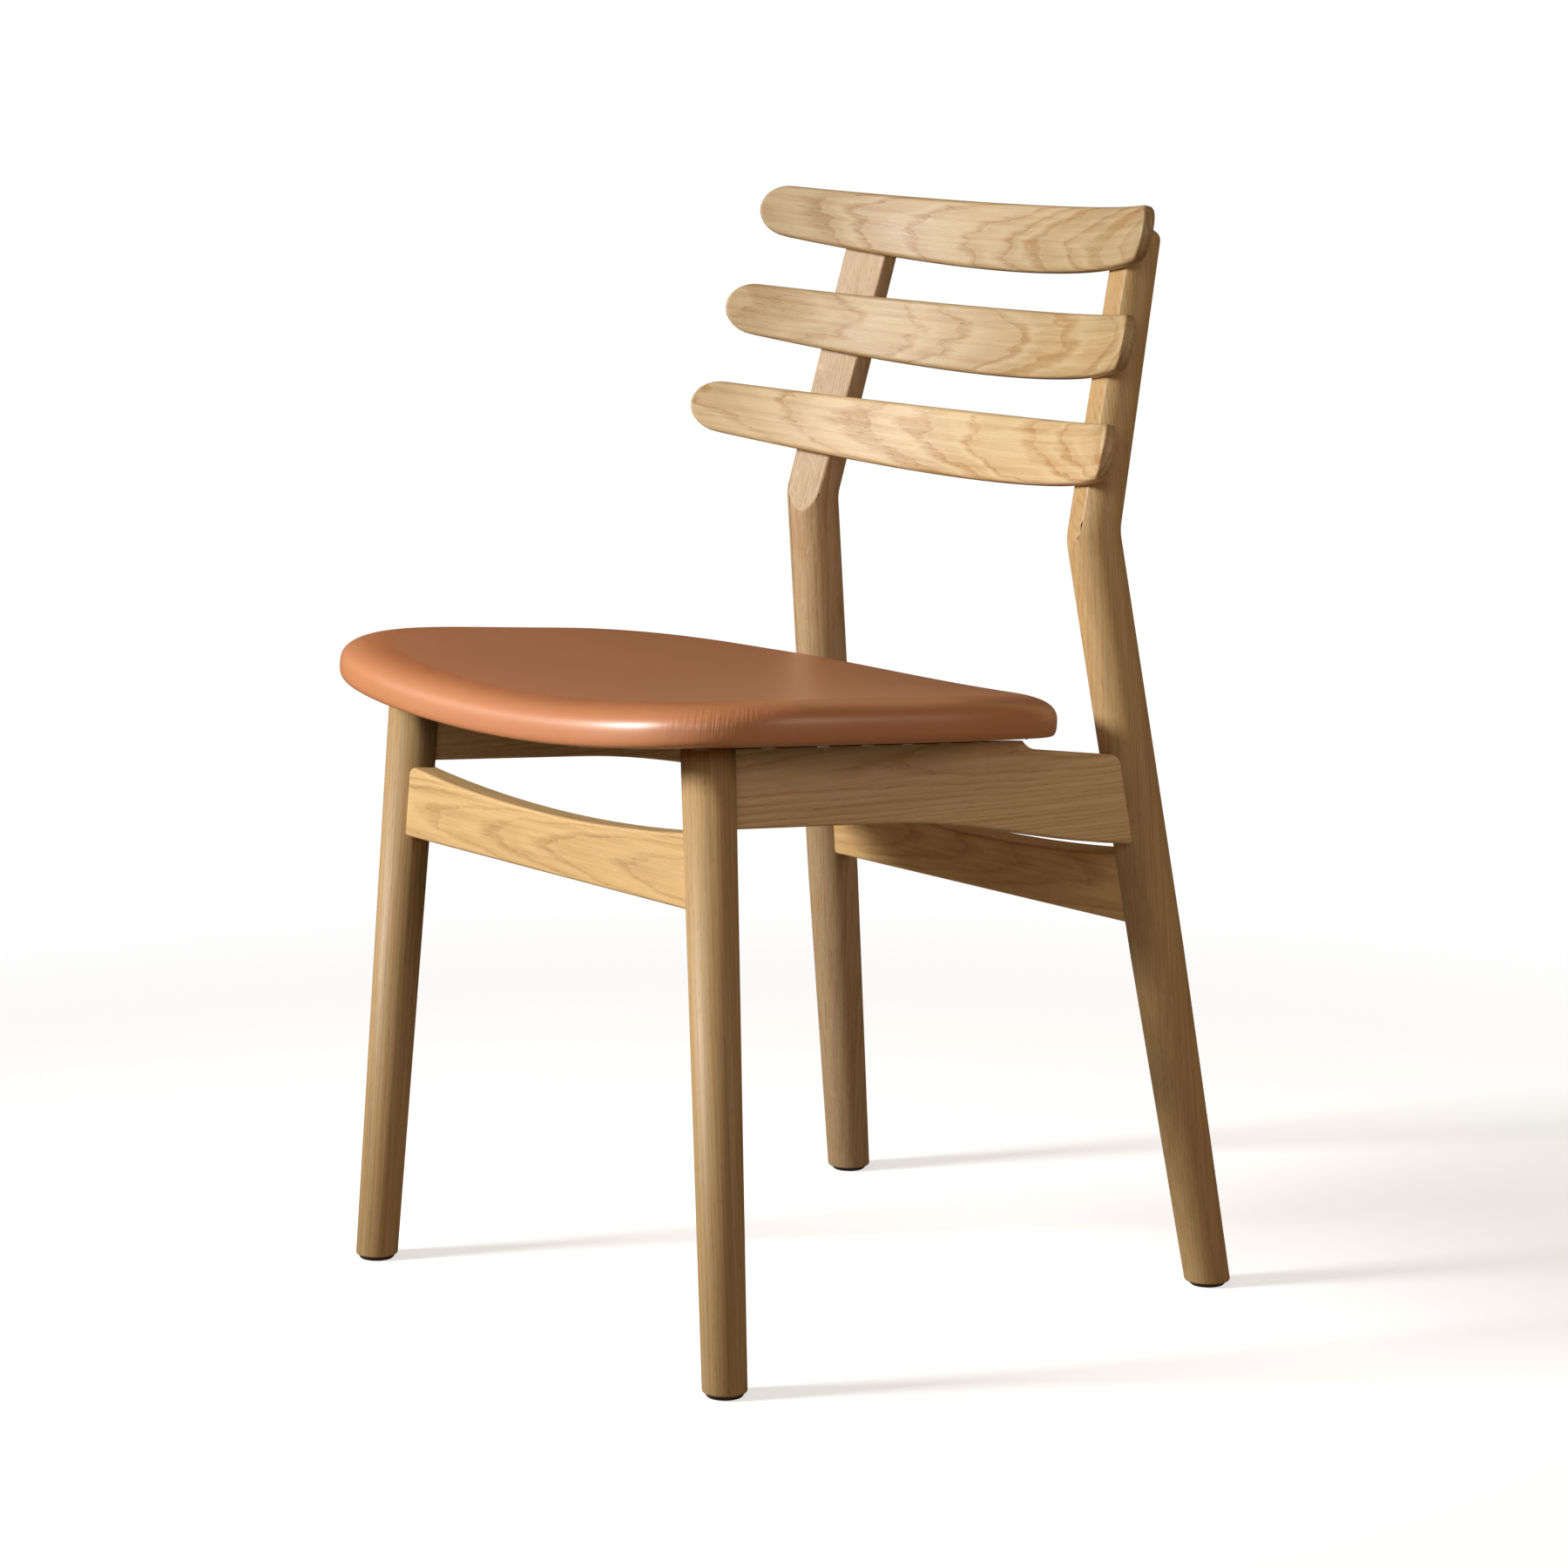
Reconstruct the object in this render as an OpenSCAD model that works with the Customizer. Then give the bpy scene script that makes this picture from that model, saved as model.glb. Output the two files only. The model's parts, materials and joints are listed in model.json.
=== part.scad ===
// Dining chair: two leaning side frames, two stretchers, three curved back slats and a dished,
// padded seat. Millimetres, +Z up, the chair faces -Y, and the origin is on the floor in the
// middle of the overall depth and width. "left" is the sitter's left, which is +X.

/* [Overall] */
// Depth from the seat's front edge to the back of the rear feet
overall_depth = 520; // [440:1:640]
// Height of the seat's underside at the middle of its front edge
seat_front_height = 431; // [390:1:520]
// Height of the elbow in the rear legs
elbow_height = 556; // [500:1:680]
// From the top slat's middle to the end of the leg
leg_past_slat = 10; // [9:1:30]

/* [Front legs] */
// Distance between the middles of the front feet
front_foot_spacing = 437; // [360:1:530]
// Distance from the seat's front edge back to the middle of the front feet
front_foot_setback = 57.5; // [40:0.5:90]
// Diameter at the floor
front_foot_d = 31; // [26:0.5:38]
// Diameter at the seat
front_leg_top_d = 37; // [34:0.5:45]
// Backward lean, in degrees
front_rake = 2.15; // [0:0.05:6]

/* [Rear legs] */
// Distance between the middles of the rear feet
rear_foot_spacing = 426; // [360:1:520]
// Diameter at the floor
rear_foot_d = 33; // [28:0.5:40]
// Diameter from the rail up
rear_leg_d = 39; // [36:0.5:47]
// Height at which the lower taper ends
rear_taper_height = 250; // [150:5:260]
// Forward lean below the elbow, in degrees
rear_rake = 7.85; // [4:0.05:10]
// Inward lean of both side frames, in degrees
side_lean = 5.15; // [2:0.05:7]
// Backward lean above the elbow, in degrees
back_lean = 13.8; // [8:0.5:20]
// Inward lean above the elbow, in degrees
upper_splay = 4.8; // [0:0.1:6]
// Turn of the flats towards the middle of the chair, in degrees
flat_turn = 22.2; // [16:0.1:26]
// Distance from the leg's axis to its flat at the middle slat
flat_depth = 10.3; // [6:0.1:13]
// Rounding at the top end
leg_end_round = 7; // [3:0.5:12]

/* [Side rails] */
// Thickness of the side rails
rail_t = 20; // [16:0.5:26]
// Height of a rail at the front
rail_front_h = 54.5; // [44:0.5:66]
// How much deeper a rail is at its rear end
rail_rear_drop = 22.5; // [0:0.5:30]
// Length over which the underside sweeps down to that depth
rail_sweep_length = 250; // [150:5:300]
// Distance from the rear leg's axis to the end of the seat rest
rest_setback = 112; // [80:1:150]
// Drop of the step behind the seat rest
rest_step_h = 6.5; // [3:0.5:12]
// Length of the slope of that step
rest_step_length = 11.5; // [6:0.5:20]
// Slope of the rail's top behind the step, in degrees
rear_top_slope = 8.6; // [3:0.1:12]
// Corner radius at the rear ends
rail_corner_r = 7; // [3:0.5:10]

/* [Stretchers] */
// Thickness of both stretchers
stretcher_t = 20; // [16:0.5:26]
// Height of a stretcher at its ends
stretcher_end_h = 52; // [42:0.5:60]
// Hollow in the middle of its top edge
stretcher_hollow = 10; // [0:0.5:18]
// Height of the front stretcher's underside, along the front legs
front_stretcher_z = 326.5; // [260:0.5:340]
// Height of the rear stretcher's underside, along the rear legs
rear_stretcher_z = 272.5; // [160:0.5:285]

/* [Back slats] */
// Distance from the elbow up to the middle of the lowest slat
first_slat_s = 51.5; // [45:0.5:70]
// Distance from slat to slat
slat_pitch = 78.5; // [66:0.1:95]
// Slat thickness
slat_t = 10; // [9:0.5:18]
// Height of a slat in its middle
slat_mid_h = 50; // [40:0.5:60]
// Height of a slat at its ends, before the rounding
slat_end_h = 39; // [28:0.5:50]
// Length of the lowest slat, straight from tip to tip
slat_length = 481; // [430:1:600]
// How much shorter each slat is than the one below
slat_step = 20.3; // [0:0.5:40]

/* [Seat] */
// Widest part of the seat
seat_width = 496; // [460:1:600]
// Length of the seat
seat_length = 450; // [400:1:480]
// Backward slope, in degrees
seat_tilt = 4.4; // [0:0.1:8]
// Radius of the dish across the seat
dish_r = 1500; // [900:10:3000]
// Thickness from the underside to the top
seat_t = 31; // [27:0.5:45]
// Squareness of the front corners
front_square = 4.8; // [2.5:0.1:6]
// Squareness of the rear corners
rear_square = 2.2; // [2:0.1:3]
// Narrowing towards the back, as a fraction of the width
seat_taper = 0.05; // [0:0.01:0.12]
// Bulge of the front edge
front_bow = 5; // [0:0.5:20]
// Height of the seat's widest edge above its underside
edge_h = 11.2; // [9:0.1:14]
// Width of the roll under the edge
under_roll = 6.6; // [5:0.1:9]
// Width of the roll over the edge
top_roll = 36; // [20:1:50]
// Thickness of the leather
leather_t = 1.5; // [1:0.1:2]
// Thickness of the plywood shell
shell_t = 11; // [10:0.5:14]
// Width of the leather turned in under the shell
flap_w = 30; // [20:1:36]
// Thickness of the underlining
lining_t = 1; // [0.6:0.1:1.4]
// Width of a staple's crown
staple_w = 10; // [6:0.5:13]
// Number of staples around the edge
staple_count = 36; // [20:1:44]

/* [Hardware] */
// Dowel diameter in the rails and stretchers
dowel_d = 8; // [6:0.5:10]
// Dowel length in the rails and stretchers
dowel_length = 36; // [30:1:44]
// Dowel diameter in the slats
slat_dowel_d = 6; // [5:0.5:8]
// Depth of a dowel in the leg, from the flat
leg_dowel_in = 14; // [10:0.5:16]
// Distance of the first seat screw from the front leg's axis
screw_front = 70; // [50:1:90]
// Distance from the end of the seat rest to the second seat screw
screw_rear = 40; // [25:1:70]
// Seat screw diameter
screw_d = 6; // [5:0.5:6]
// Seat screw head diameter
screw_head_d = 10; // [8.5:0.5:11]
// Seat screw head height
screw_head_h = 6; // [4:0.5:8]
// Wood between the screw's head and the seat
screw_grip = 30; // [20:1:36]
// Length of the threaded inserts
insert_length = 8; // [6:0.5:8.5]
// Outer diameter of the threaded inserts
insert_d = 9.5; // [9:0.5:10]
// Glide diameter
glide_d = 26; // [20:0.5:26]
// Glide height
glide_h = 3; // [2.5:0.5:6]
// Glide nail length in the leg
nail_length = 18; // [10:1:26]

/* [Fits] */
// Gap between a coped end and its leg
cope_gap = 0.1; // [0.05:0.05:0.3]
// Gap between the seat's underside and the wood under it
seat_gap = 0.2; // [0.1:0.05:0.5]
// Gap between the layers of the seat
layer_gap = 0.2; // [0.1:0.05:0.4]
// Gap on the diameter of a dowel, an insert or a nail
bore_gap = 0.1; // [0.06:0.02:0.3]
// Gap on the diameter of a screw in its rail
screw_gap = 0.6; // [0.4:0.1:1]
// Gap behind the end of a dowel or nail
end_gap = 1; // [0.5:0.5:2]

/* [Hidden] */

OAK = "burlywood";
PALE_WOOD = "wheat";
STEEL = "silver";
far = 2000;            // larger than anything on the chair
round_fn = 96;
big_fn = 480;
run_out = 60;          // how far solids run past the place where they are cut off
hand = [1, -1];        // +1 is the left side, -1 the right

// Vectors and frames
function unit(v) = v / norm(v);
// Moves children so that their Z runs along dir and their Y as near to back as it can
module in_frame(origin, dir, back = [0, 1, 0]) {
  z = unit(dir);
  y = unit(back - (back * z) * z);
  x = cross(y, z);
  multmatrix([[x.x, y.x, z.x, origin.x],
              [x.y, y.y, z.y, origin.y],
              [x.z, y.z, z.z, origin.z],
              [0, 0, 0, 1]]) children();
}
module on_side(side) {
  if (side > 0) children();
  else mirror([1, 0, 0]) children();
}
module both_sides() {
  for (side = hand) on_side(side) children();
}

// Leg axes, all on the left side
front_foot = [front_foot_spacing / 2, front_foot_setback - overall_depth / 2, 0];
front_lean = [-tan(side_lean), tan(front_rake), 1];
function front_axis(z) = front_foot + z * front_lean;
function front_leg_d(z) = front_foot_d + (front_leg_top_d - front_foot_d) * z / seat_front_height;

rear_foot = [rear_foot_spacing / 2, (overall_depth - rear_foot_d) / 2, 0];
rear_lean = [-tan(side_lean), -tan(rear_rake), 1];
function rear_axis(z) = rear_foot + z * rear_lean;
elbow = rear_axis(elbow_height);
lower_dir = unit(rear_lean);
upper_dir = unit([-tan(upper_splay), tan(back_lean), 1]);
mitre_dir = unit(lower_dir + upper_dir);
function upper_axis(s) = elbow + s * upper_dir;

// The back: the slats lie on one cylinder whose axis leans back with the upper legs
back_dir = unit([0, tan(back_lean), 1]);
function slat_s(i) = first_slat_s + i * slat_pitch;
upper_leg_length = slat_s(2) + leg_past_slat;
back_mid = upper_axis(slat_s(1));
back_r = back_mid.x / sin(flat_turn) - flat_depth;        // radius of the slats' back faces
back_reach = back_mid.x / tan(flat_turn);                  // legs' axes to the cylinder's axis
back_origin = [0, elbow.y, elbow.z];
function slat_w(i) = (upper_axis(slat_s(i)) - back_origin) * back_dir;

// Side plane, through the feet and leaning inwards. Its Y runs back and its Z up the legs.
side_run = unit([rear_foot.x - front_foot.x, rear_foot.y - front_foot.y, 0]);
side_inward = [-side_run.y, side_run.x, 0];
side_up = side_inward * sin(side_lean) + [0, 0, cos(side_lean)];
function side_l(p) = (p - front_foot) * side_run;
function side_point(l, w) = front_foot + l * side_run + w * side_up;
module side_plane() { in_frame(front_foot, side_up, side_run) children(); }

// Seat frame: origin under the middle of the front edge, Y back along the slope, Z its normal
seat_origin = [0, -overall_depth / 2 - edge_h * sin(seat_tilt), seat_front_height];
module seat_frame() { translate(seat_origin) rotate([-seat_tilt, 0, 0]) children(); }
function dish(x, h) = dish_r - sqrt(pow(dish_r - h, 2) - x * x);
// Height above the floor of the surface h above the seat's underside
function seat_z(x, y, h) = seat_origin.z + dish(x, h) / cos(seat_tilt)
                         - (y - seat_origin.y) * tan(seat_tilt);
// Everything above the surface h over the seat's underside
module above_seat(h) {
  seat_frame() translate([0, 0, dish_r]) rotate([90, 0, 0])
    cylinder(r = dish_r - h, h = far, center = true, $fn = big_fn);
}

// ---- Legs ----
module front_leg_solid(grow = 0) {
  top = seat_front_height + run_out;
  in_frame(front_axis(-run_out), front_lean)
    cylinder(d1 = front_leg_d(-run_out) + grow, d2 = front_leg_d(top) + grow,
             h = norm(front_lean) * (top + run_out), $fn = round_fn);
}
module rear_lower_solid(grow = 0) {
  k = norm(rear_lean);
  low_r = (rear_leg_d - (rear_leg_d - rear_foot_d) * (1 + run_out / rear_taper_height)) / 2;
  full_r = (rear_leg_d + grow) / 2;
  top = (elbow_height + 2 * run_out) * k;
  in_frame(rear_axis(-run_out), rear_lean) rotate_extrude($fn = round_fn)
    polygon([[0, 0], [low_r + grow / 2, 0], [full_r, (rear_taper_height + run_out) * k],
             [full_r, top], [0, top]]);
}
// The upper part is slightly thinner, so that its edge and the lower part's stay apart at the
// mitre
elbow_step = 0.2;
module rear_upper_solid() {
  r = rear_leg_d / 2 - elbow_step;
  end = [for (a = [0:15:90]) [r - leg_end_round * (1 - cos(a)),
                              upper_leg_length - leg_end_round * (1 - sin(a))]];
  in_frame(elbow, upper_dir) rotate_extrude($fn = round_fn)
    polygon(concat([[0, -run_out], [r, -run_out]], end, [[0, upper_leg_length]]));
}
// Half space above the elbow's mitre
module above_mitre() {
  in_frame(elbow, mitre_dir) translate([-100, -100, 0]) cube([200, 200, 500]);
}
// What the flat removes: the wood in front of a plane that touches the back's cylinder
module flat_cut() {
  in_frame(back_origin, back_dir) translate([0, -back_reach, 0]) rotate([0, 0, 90 - flat_turn])
    translate([back_r - run_out, -run_out, -2 * run_out])
    cube([run_out, 2 * run_out, upper_leg_length + 4 * run_out]);
}
module below_glide() {
  translate([-far / 2, -far / 2, glide_h - far]) cube([far, far, far]);
}

module front_leg() {
  color(OAK) difference() {
    front_leg_solid();
    below_glide();
    above_seat(rest_h);
    rail_dowel_holes();
    stretcher_dowel_holes();
    nail_hole(front_axis(glide_h));
  }
}
module rear_leg() {
  color(OAK) difference() {
    union() {
      difference() {
        rear_lower_solid();
        above_mitre();
      }
      intersection() {
        rear_upper_solid();
        above_mitre();
      }
    }
    flat_cut();
    below_glide();
    rail_dowel_holes();
    stretcher_dowel_holes();
    slat_dowel_holes();
    nail_hole(rear_axis(glide_h));
  }
}

// ---- Side rails, drawn in the side plane as [distance back, distance up] ----
rest_h = -seat_gap;                                        // top of the wood, in the seat's layers
function front_l(w) = w * (front_lean * side_run) / (front_lean * side_up);
function rear_l(w) = side_l(rear_foot) + w * (rear_lean * side_run) / (rear_lean * side_up);
// Height of the seat's underside over the rail's middle
function rest_w(l) =
  let (p = side_point(l, seat_front_height)) seat_z(p.x, p.y, rest_h) / side_up.z;
rear_joint_l = rear_l(rest_w(overall_depth * 0.8));        // rear leg's axis at the rail's height
rest_end = rear_joint_l - rest_setback;
sweep_end = rear_joint_l + rear_leg_d / 2;
function ease(t) = (1 - cos(180 * min(max(t, 0), 1))) / 2;
function rail_bottom(l) = rest_w(l) - rail_front_h
  - rail_rear_drop * ease((l - sweep_end + rail_sweep_length) / rail_sweep_length);
low_start = [rest_end + rest_step_length, rest_w(rest_end) - rest_step_h];
function low_top(l) = low_start.y - (l - low_start.x) * tan(rear_top_slope);
// Where a face half_t from the axis meets a round of radius r
function face_reach(r, half_t) = sqrt(r * r - half_t * half_t);
function rail_end(w) = rear_l(w) - face_reach(rear_leg_d / 2, rail_t / 2);

// Points of a round corner at b, between a and c
function fillet(a, b, c, r) =
  let (u = unit(a - b), v = unit(c - b), half = acos(u * v) / 2,
       m = b + unit(u + v) * r / sin(half), p = b + u * r / tan(half), q = b + v * r / tan(half),
       from = atan2(p.y - m.y, p.x - m.x), to = atan2(q.y - m.y, q.x - m.x),
       turn = (to - from + 540) % 360 - 180)
  [for (i = [0:8]) m + r * [cos(from + turn * i / 8), sin(from + turn * i / 8)]];

module rail_profile() {
  sweep = [for (i = [0:24]) let (l = sweep_end - rail_sweep_length * (1 - i / 24))
             if (l < rail_end(rail_bottom(l)) - 2 * rail_corner_r) [l, rail_bottom(l)]];
  low_w = rail_bottom(rail_end(rail_bottom(rear_joint_l)));
  high_w = low_top(rail_end(low_top(rear_joint_l)));
  low_corner = [rail_end(low_w), low_w];
  high_corner = [rail_end(high_w), high_w];
  polygon(concat(
    [[0, rail_bottom(0)]], sweep,
    fillet(sweep[len(sweep) - 1], low_corner, high_corner, rail_corner_r / 2),
    fillet(low_corner, high_corner, low_start, rail_corner_r),
    [low_start, [rest_end, rest_w(rest_end)], [rest_end, rest_w(rest_end) + run_out],
     [0, rest_w(0) + run_out]]));
}
module side_rail() {
  color(OAK) difference() {
    side_plane() rotate([90, 0, 90]) linear_extrude(rail_t, center = true) rail_profile();
    front_leg_solid(2 * cope_gap);
    rear_lower_solid(2 * cope_gap);
    above_seat(rest_h);
    rail_dowel_holes();
    screw_holes();
  }
}

// Dowels between rails and legs: [place along the rail, height, direction of the rail]
front_dowel_w = rest_w(0) - rail_front_h / 2;
rear_dowel_w = (low_top(rear_joint_l) + rail_bottom(rear_joint_l)) / 2;
front_dowel_gap = rail_front_h / 4;                        // half the distance between a pair
rear_dowel_gap = (rail_front_h + rail_rear_drop) / 5;
rail_dowel_places = concat(
  [for (k = hand) let (w = front_dowel_w + k * front_dowel_gap) [front_l(w), w, 1]],
  [for (k = hand) let (w = rear_dowel_w + k * rear_dowel_gap) [rear_l(w), w, -1]]);
dowel_start = 2;                                           // from the leg's axis to a dowel's end
module rail_dowel(d, length, start) {
  for (p = rail_dowel_places)
    side_plane() translate([0, p[0] + p[2] * start, p[1]]) rotate([-90 * p[2], 0, 0])
      cylinder(d = d, h = length, $fn = 32);
}
module rail_dowel_holes() {
  rail_dowel(dowel_d + bore_gap, dowel_length + 2 * end_gap, dowel_start - end_gap);
}

// ---- Stretchers, drawn in the planes of the front legs and of the rear legs ----
// Each is [origin, up, height of its underside]
front_span = [[0, front_foot.y, 0], unit([0, front_lean.y, 1]), front_stretcher_z];
rear_span = [[0, rear_foot.y, 0], unit([0, rear_lean.y, 1]), rear_stretcher_z];
function span_x(span, w) = (span == front_span ? front_axis(w * span[1].z)
                                               : rear_axis(w * span[1].z)).x;
function span_leg_r(span, w) = (span == front_span ? front_leg_d(w)
  : min(rear_leg_d, rear_foot_d + (rear_leg_d - rear_foot_d) * w / rear_taper_height)) / 2;
stretcher_corner_r = stretcher_end_h / 8;
module stretcher_profile(span) {
  low = span[2];
  high = low + stretcher_end_h;
  reach = face_reach(span_leg_r(span, low), stretcher_t / 2);
  low_x = span_x(span, low) - reach;
  high_x = span_x(span, high) - reach;
  top = [for (i = [-12:12]) let (x = (high_x - stretcher_corner_r * 2) * i / 12)
           [x, high - stretcher_hollow * (1 - pow(x / high_x, 2))]];
  flip = [-1, 1];
  right = fillet([0, low], [low_x, low], [high_x, high], stretcher_corner_r / 2);
  right_top = fillet([low_x, low], [high_x, high], top[len(top) - 1], stretcher_corner_r);
  end = concat(right, right_top);
  other_end = [for (i = [len(end) - 1:-1:0]) [-end[i].x, end[i].y]];
  polygon(concat(end, [for (i = [len(top) - 1:-1:0]) top[i]], other_end));
}
module stretcher(span) {
  color(OAK) difference() {
    in_frame(span[0], span[1]) rotate([90, 0, 0])
      linear_extrude(stretcher_t, center = true) stretcher_profile(span);
    both_sides() {
      if (span == front_span) front_leg_solid(2 * cope_gap);
      else rear_lower_solid(2 * cope_gap);
      stretcher_dowel_holes();
    }
  }
}
module stretcher_dowel(d, length, start) {
  for (span = [front_span, rear_span], k = hand) {
    w = span[2] + stretcher_end_h / 2 + k * stretcher_end_h / 4.5;
    in_frame(span[0], span[1]) translate([span_x(span, w) - start, 0, w]) rotate([0, -90, 0])
      cylinder(d = d, h = length, $fn = 32);
  }
}
module stretcher_dowel_holes() {
  stretcher_dowel(dowel_d + bore_gap, dowel_length + 2 * end_gap, dowel_start - end_gap);
}

// ---- Back slats, drawn in the frame of the back ----
module back_frame() { in_frame(back_origin, back_dir) children(); }
module slat_profile(i) {
  r = slat_end_h / 2;
  flat_end = (slat_length - i * slat_step) / 2 - r;
  edge = [for (k = [-20:20]) let (x = flat_end * k / 20)
            [x, r + (slat_mid_h / 2 - r) * (1 - pow(k / 20, 2))]];
  tip = [for (a = [75:-15:-75]) [flat_end + r * cos(a), r * sin(a)]];
  polygon(concat(edge, tip, [for (p = edge) [-p.x, -p.y]], [for (p = tip) [-p.x, -p.y]]));
}
module slat(i) {
  r = back_r - cope_gap;
  color(OAK) back_frame() translate([0, 0, slat_w(i)]) difference() {
    intersection() {
      translate([0, rear_leg_d, 0]) rotate([90, 0, 0])
        linear_extrude(back_reach) slat_profile(i);
      translate([0, -back_reach, 0]) difference() {
        cylinder(r = r, h = 2 * slat_mid_h, center = true, $fn = big_fn);
        cylinder(r = r - slat_t, h = 3 * slat_mid_h, center = true, $fn = big_fn);
      }
    }
    both_sides() slat_dowel(i, slat_dowel_d + bore_gap, slat_dowel_in + end_gap, leg_dowel_in);
  }
}
// Pair of dowels of slat i, from so far in the slat to so far in the leg; its Z is the slat's.
// Neither is above the slat's middle, because the leg ends soon after it
slat_dowel_rows = [0, -slat_mid_h / 3];
slat_dowel_in = 0.6 * slat_t;
module slat_dowel(i, d, in_slat, in_leg) {
  aside = (upper_axis(slat_s(i)).x - back_mid.x) * cos(flat_turn);
  for (row = slat_dowel_rows)
    translate([0, -back_reach, row]) rotate([0, 0, 90 - flat_turn])
      translate([back_r - in_slat, -aside, 0]) rotate([0, 90, 0])
      cylinder(d = d, h = in_slat + in_leg, $fn = 32);
}
module slat_dowel_holes() {
  for (i = [0:2]) back_frame() translate([0, 0, slat_w(i)])
    slat_dowel(i, slat_dowel_d + bore_gap, slat_dowel_in, leg_dowel_in + end_gap);
}

// ---- Seat ----
outline_step = 5;                                          // degrees between outline points
half_length = (seat_length - front_bow) / 2;
mid_y = front_bow + half_length;
function squareness(t) = sin(t) < 0 ? front_square : rear_square;
// Point of the unit outline in direction t: -1 to 1 across and along
function unit_outline(t) =
  let (m = squareness(t), r = pow(pow(abs(cos(t)), m) + pow(abs(sin(t)), m), -1 / m))
  [r * cos(t), r * sin(t)];
function tapered(u) = u.x * (1 - seat_taper * u.y);
half_width = seat_width / 2 / max([for (t = [0:outline_step:355]) tapered(unit_outline(t))]);
function outline_point(t, inset) = let (u = unit_outline(t))
  [(half_width - inset) * tapered(u),
   mid_y + (half_length - inset) * u.y - front_bow * (1 - u.x * u.x) * pow(max(-u.y, 0), 3)];
function outline(inset) = [for (t = [0:outline_step:360 - outline_step]) outline_point(t, inset)];

// A ring of the rolled edge: a = -90 under the edge, 0 at its widest, 90 on top; d is how far
// the surface lies inside the leather's outside
function edge_ring(a, d) =
  let (roll = a < 0 ? under_roll : top_roll, rise = a < 0 ? edge_h : seat_t - edge_h,
       inset = roll - (roll - d) * cos(a), h = edge_h + (rise - d) * sin(a))
  bent(outline(inset), h);
function bent(points, h) = [for (p = points) [p.x, p.y, dish(p.x, h)]];
function flat_ring(inset, h) = bent(outline(inset), h);
// Rings that close a surface towards the middle of the seat
function middle_rings(inset, h) = [for (f = [0.2:0.2:0.8])
  bent([for (p = outline(inset)) [p.x * f, mid_y + (p.y - mid_y) * f]], h)];
function reversed(list) = [for (i = [len(list) - 1:-1:0]) list[i]];
// Solid whose skin runs from a bottom pole over the rings to a top pole
module ring_solid(rings, low_h, high_h) {
  n = len(rings[0]);
  last = len(rings) - 1;
  points = concat([for (r = rings) each r], [[0, mid_y, low_h], [0, mid_y, high_h]]);
  low = len(points) - 2;
  polyhedron(points, concat(
    [for (i = [0:n - 1]) [low, i, (i + 1) % n]],
    [for (k = [0:last - 1], i = [0:n - 1]) let (j = (i + 1) % n)
       each [[k * n + i, (k + 1) * n + i, k * n + j], [(k + 1) * n + i, (k + 1) * n + j, k * n + j]]],
    [for (i = [0:n - 1]) [high_index(low), last * n + (i + 1) % n, last * n + i]]));
}
function high_index(low) = low + 1;

over_angles = [0, 15, 30, 45, 60, 75, 90];
under_angles = [-90, -60, -30];
foam_base = leather_t + shell_t + 2 * layer_gap;           // height of the foam's pocket
shell_inset = under_roll + layer_gap;

module seat_leather() {
  flap = under_roll + flap_w;
  inside = leather_t;
  color("chocolate") difference() {
    seat_frame() ring_solid(concat(
      middle_rings(top_roll, seat_t - inside),
      [for (a = reversed(over_angles)) edge_ring(a, inside)],
      [for (a = reversed(under_angles)) edge_ring(a, inside)],
      [flat_ring(flap, inside), flat_ring(flap, 0)],
      [for (a = under_angles) edge_ring(a, 0)],
      [for (a = over_angles) edge_ring(a, 0)],
      reversed(middle_rings(top_roll, seat_t))), seat_t - inside, seat_t);
    both_sides() screw_holes();
  }
}
module seat_foam() {
  d = leather_t + layer_gap;
  color("lightyellow") seat_frame() ring_solid(concat(
    middle_rings(under_roll, foam_base),
    [flat_ring(under_roll, foam_base), flat_ring(under_roll, 2 * leather_t + layer_gap)],
    [edge_ring(-60, d), edge_ring(-30, d)],
    [for (a = over_angles) edge_ring(a, d)],
    reversed(middle_rings(top_roll, seat_t - d))), foam_base, seat_t - d);
}
// Sheet between two heights, with the seat's outline drawn in by inset
module bent_sheet(inset, low, high) {
  difference() {
    intersection() {
      translate([0, 0, -run_out]) linear_extrude(3 * run_out) polygon(outline(inset));
      dish_cylinder(low);
    }
    dish_cylinder(high);
  }
}
module dish_cylinder(h) {
  translate([0, 0, dish_r]) rotate([90, 0, 0])
    cylinder(r = dish_r - h, h = far, center = true, $fn = big_fn);
}
module seat_shell() {
  low = leather_t + layer_gap;
  color(PALE_WOOD) difference() {
    seat_frame() bent_sheet(shell_inset, low, low + shell_t);
    both_sides() insert_holes();
  }
}
module seat_underlining() {
  color("black") difference() {
    seat_frame() bent_sheet(under_roll + flap_w + end_gap, 0, lining_t);
    both_sides() screw_holes();
  }
}
// Whether a point of the flap is over a rail or a front leg, where no staple fits
function over_wood(p) =
  let (y = seat_origin.y + p.y, l = (y - front_foot.y) / side_run.y,
       rail = side_point(l, rest_w(l)), leg = front_axis(seat_front_height))
  abs(abs(p.x) - rail.x) < rail_t / 2 + staple_w
  || norm([abs(p.x) - leg.x, y - leg.y]) < front_leg_top_d / 2 + staple_w;
crown = 0.6;                                               // staple wire
module cover_staples() {
  t = [for (i = [0:staple_count - 1]) let (a = 360 * (i + 0.5) / staple_count)
         if (!over_wood(outline_point(a, under_roll + flap_w / 2))) a];
  color(STEEL) seat_frame() for (a = t) {
    p = outline_point(a, under_roll + flap_w / 2);
    q = outline_point(a + 1, under_roll + flap_w / 2);
    translate([p.x, p.y, dish(p.x, -layer_gap / 2) - crown])
      rotate([0, -asin(p.x / dish_r), 0]) rotate([0, 0, atan2(q.y - p.y, q.x - p.x)])
      translate([-staple_w / 2, -crown, 0]) cube([staple_w, 2 * crown, crown]);
  }
}

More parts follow.
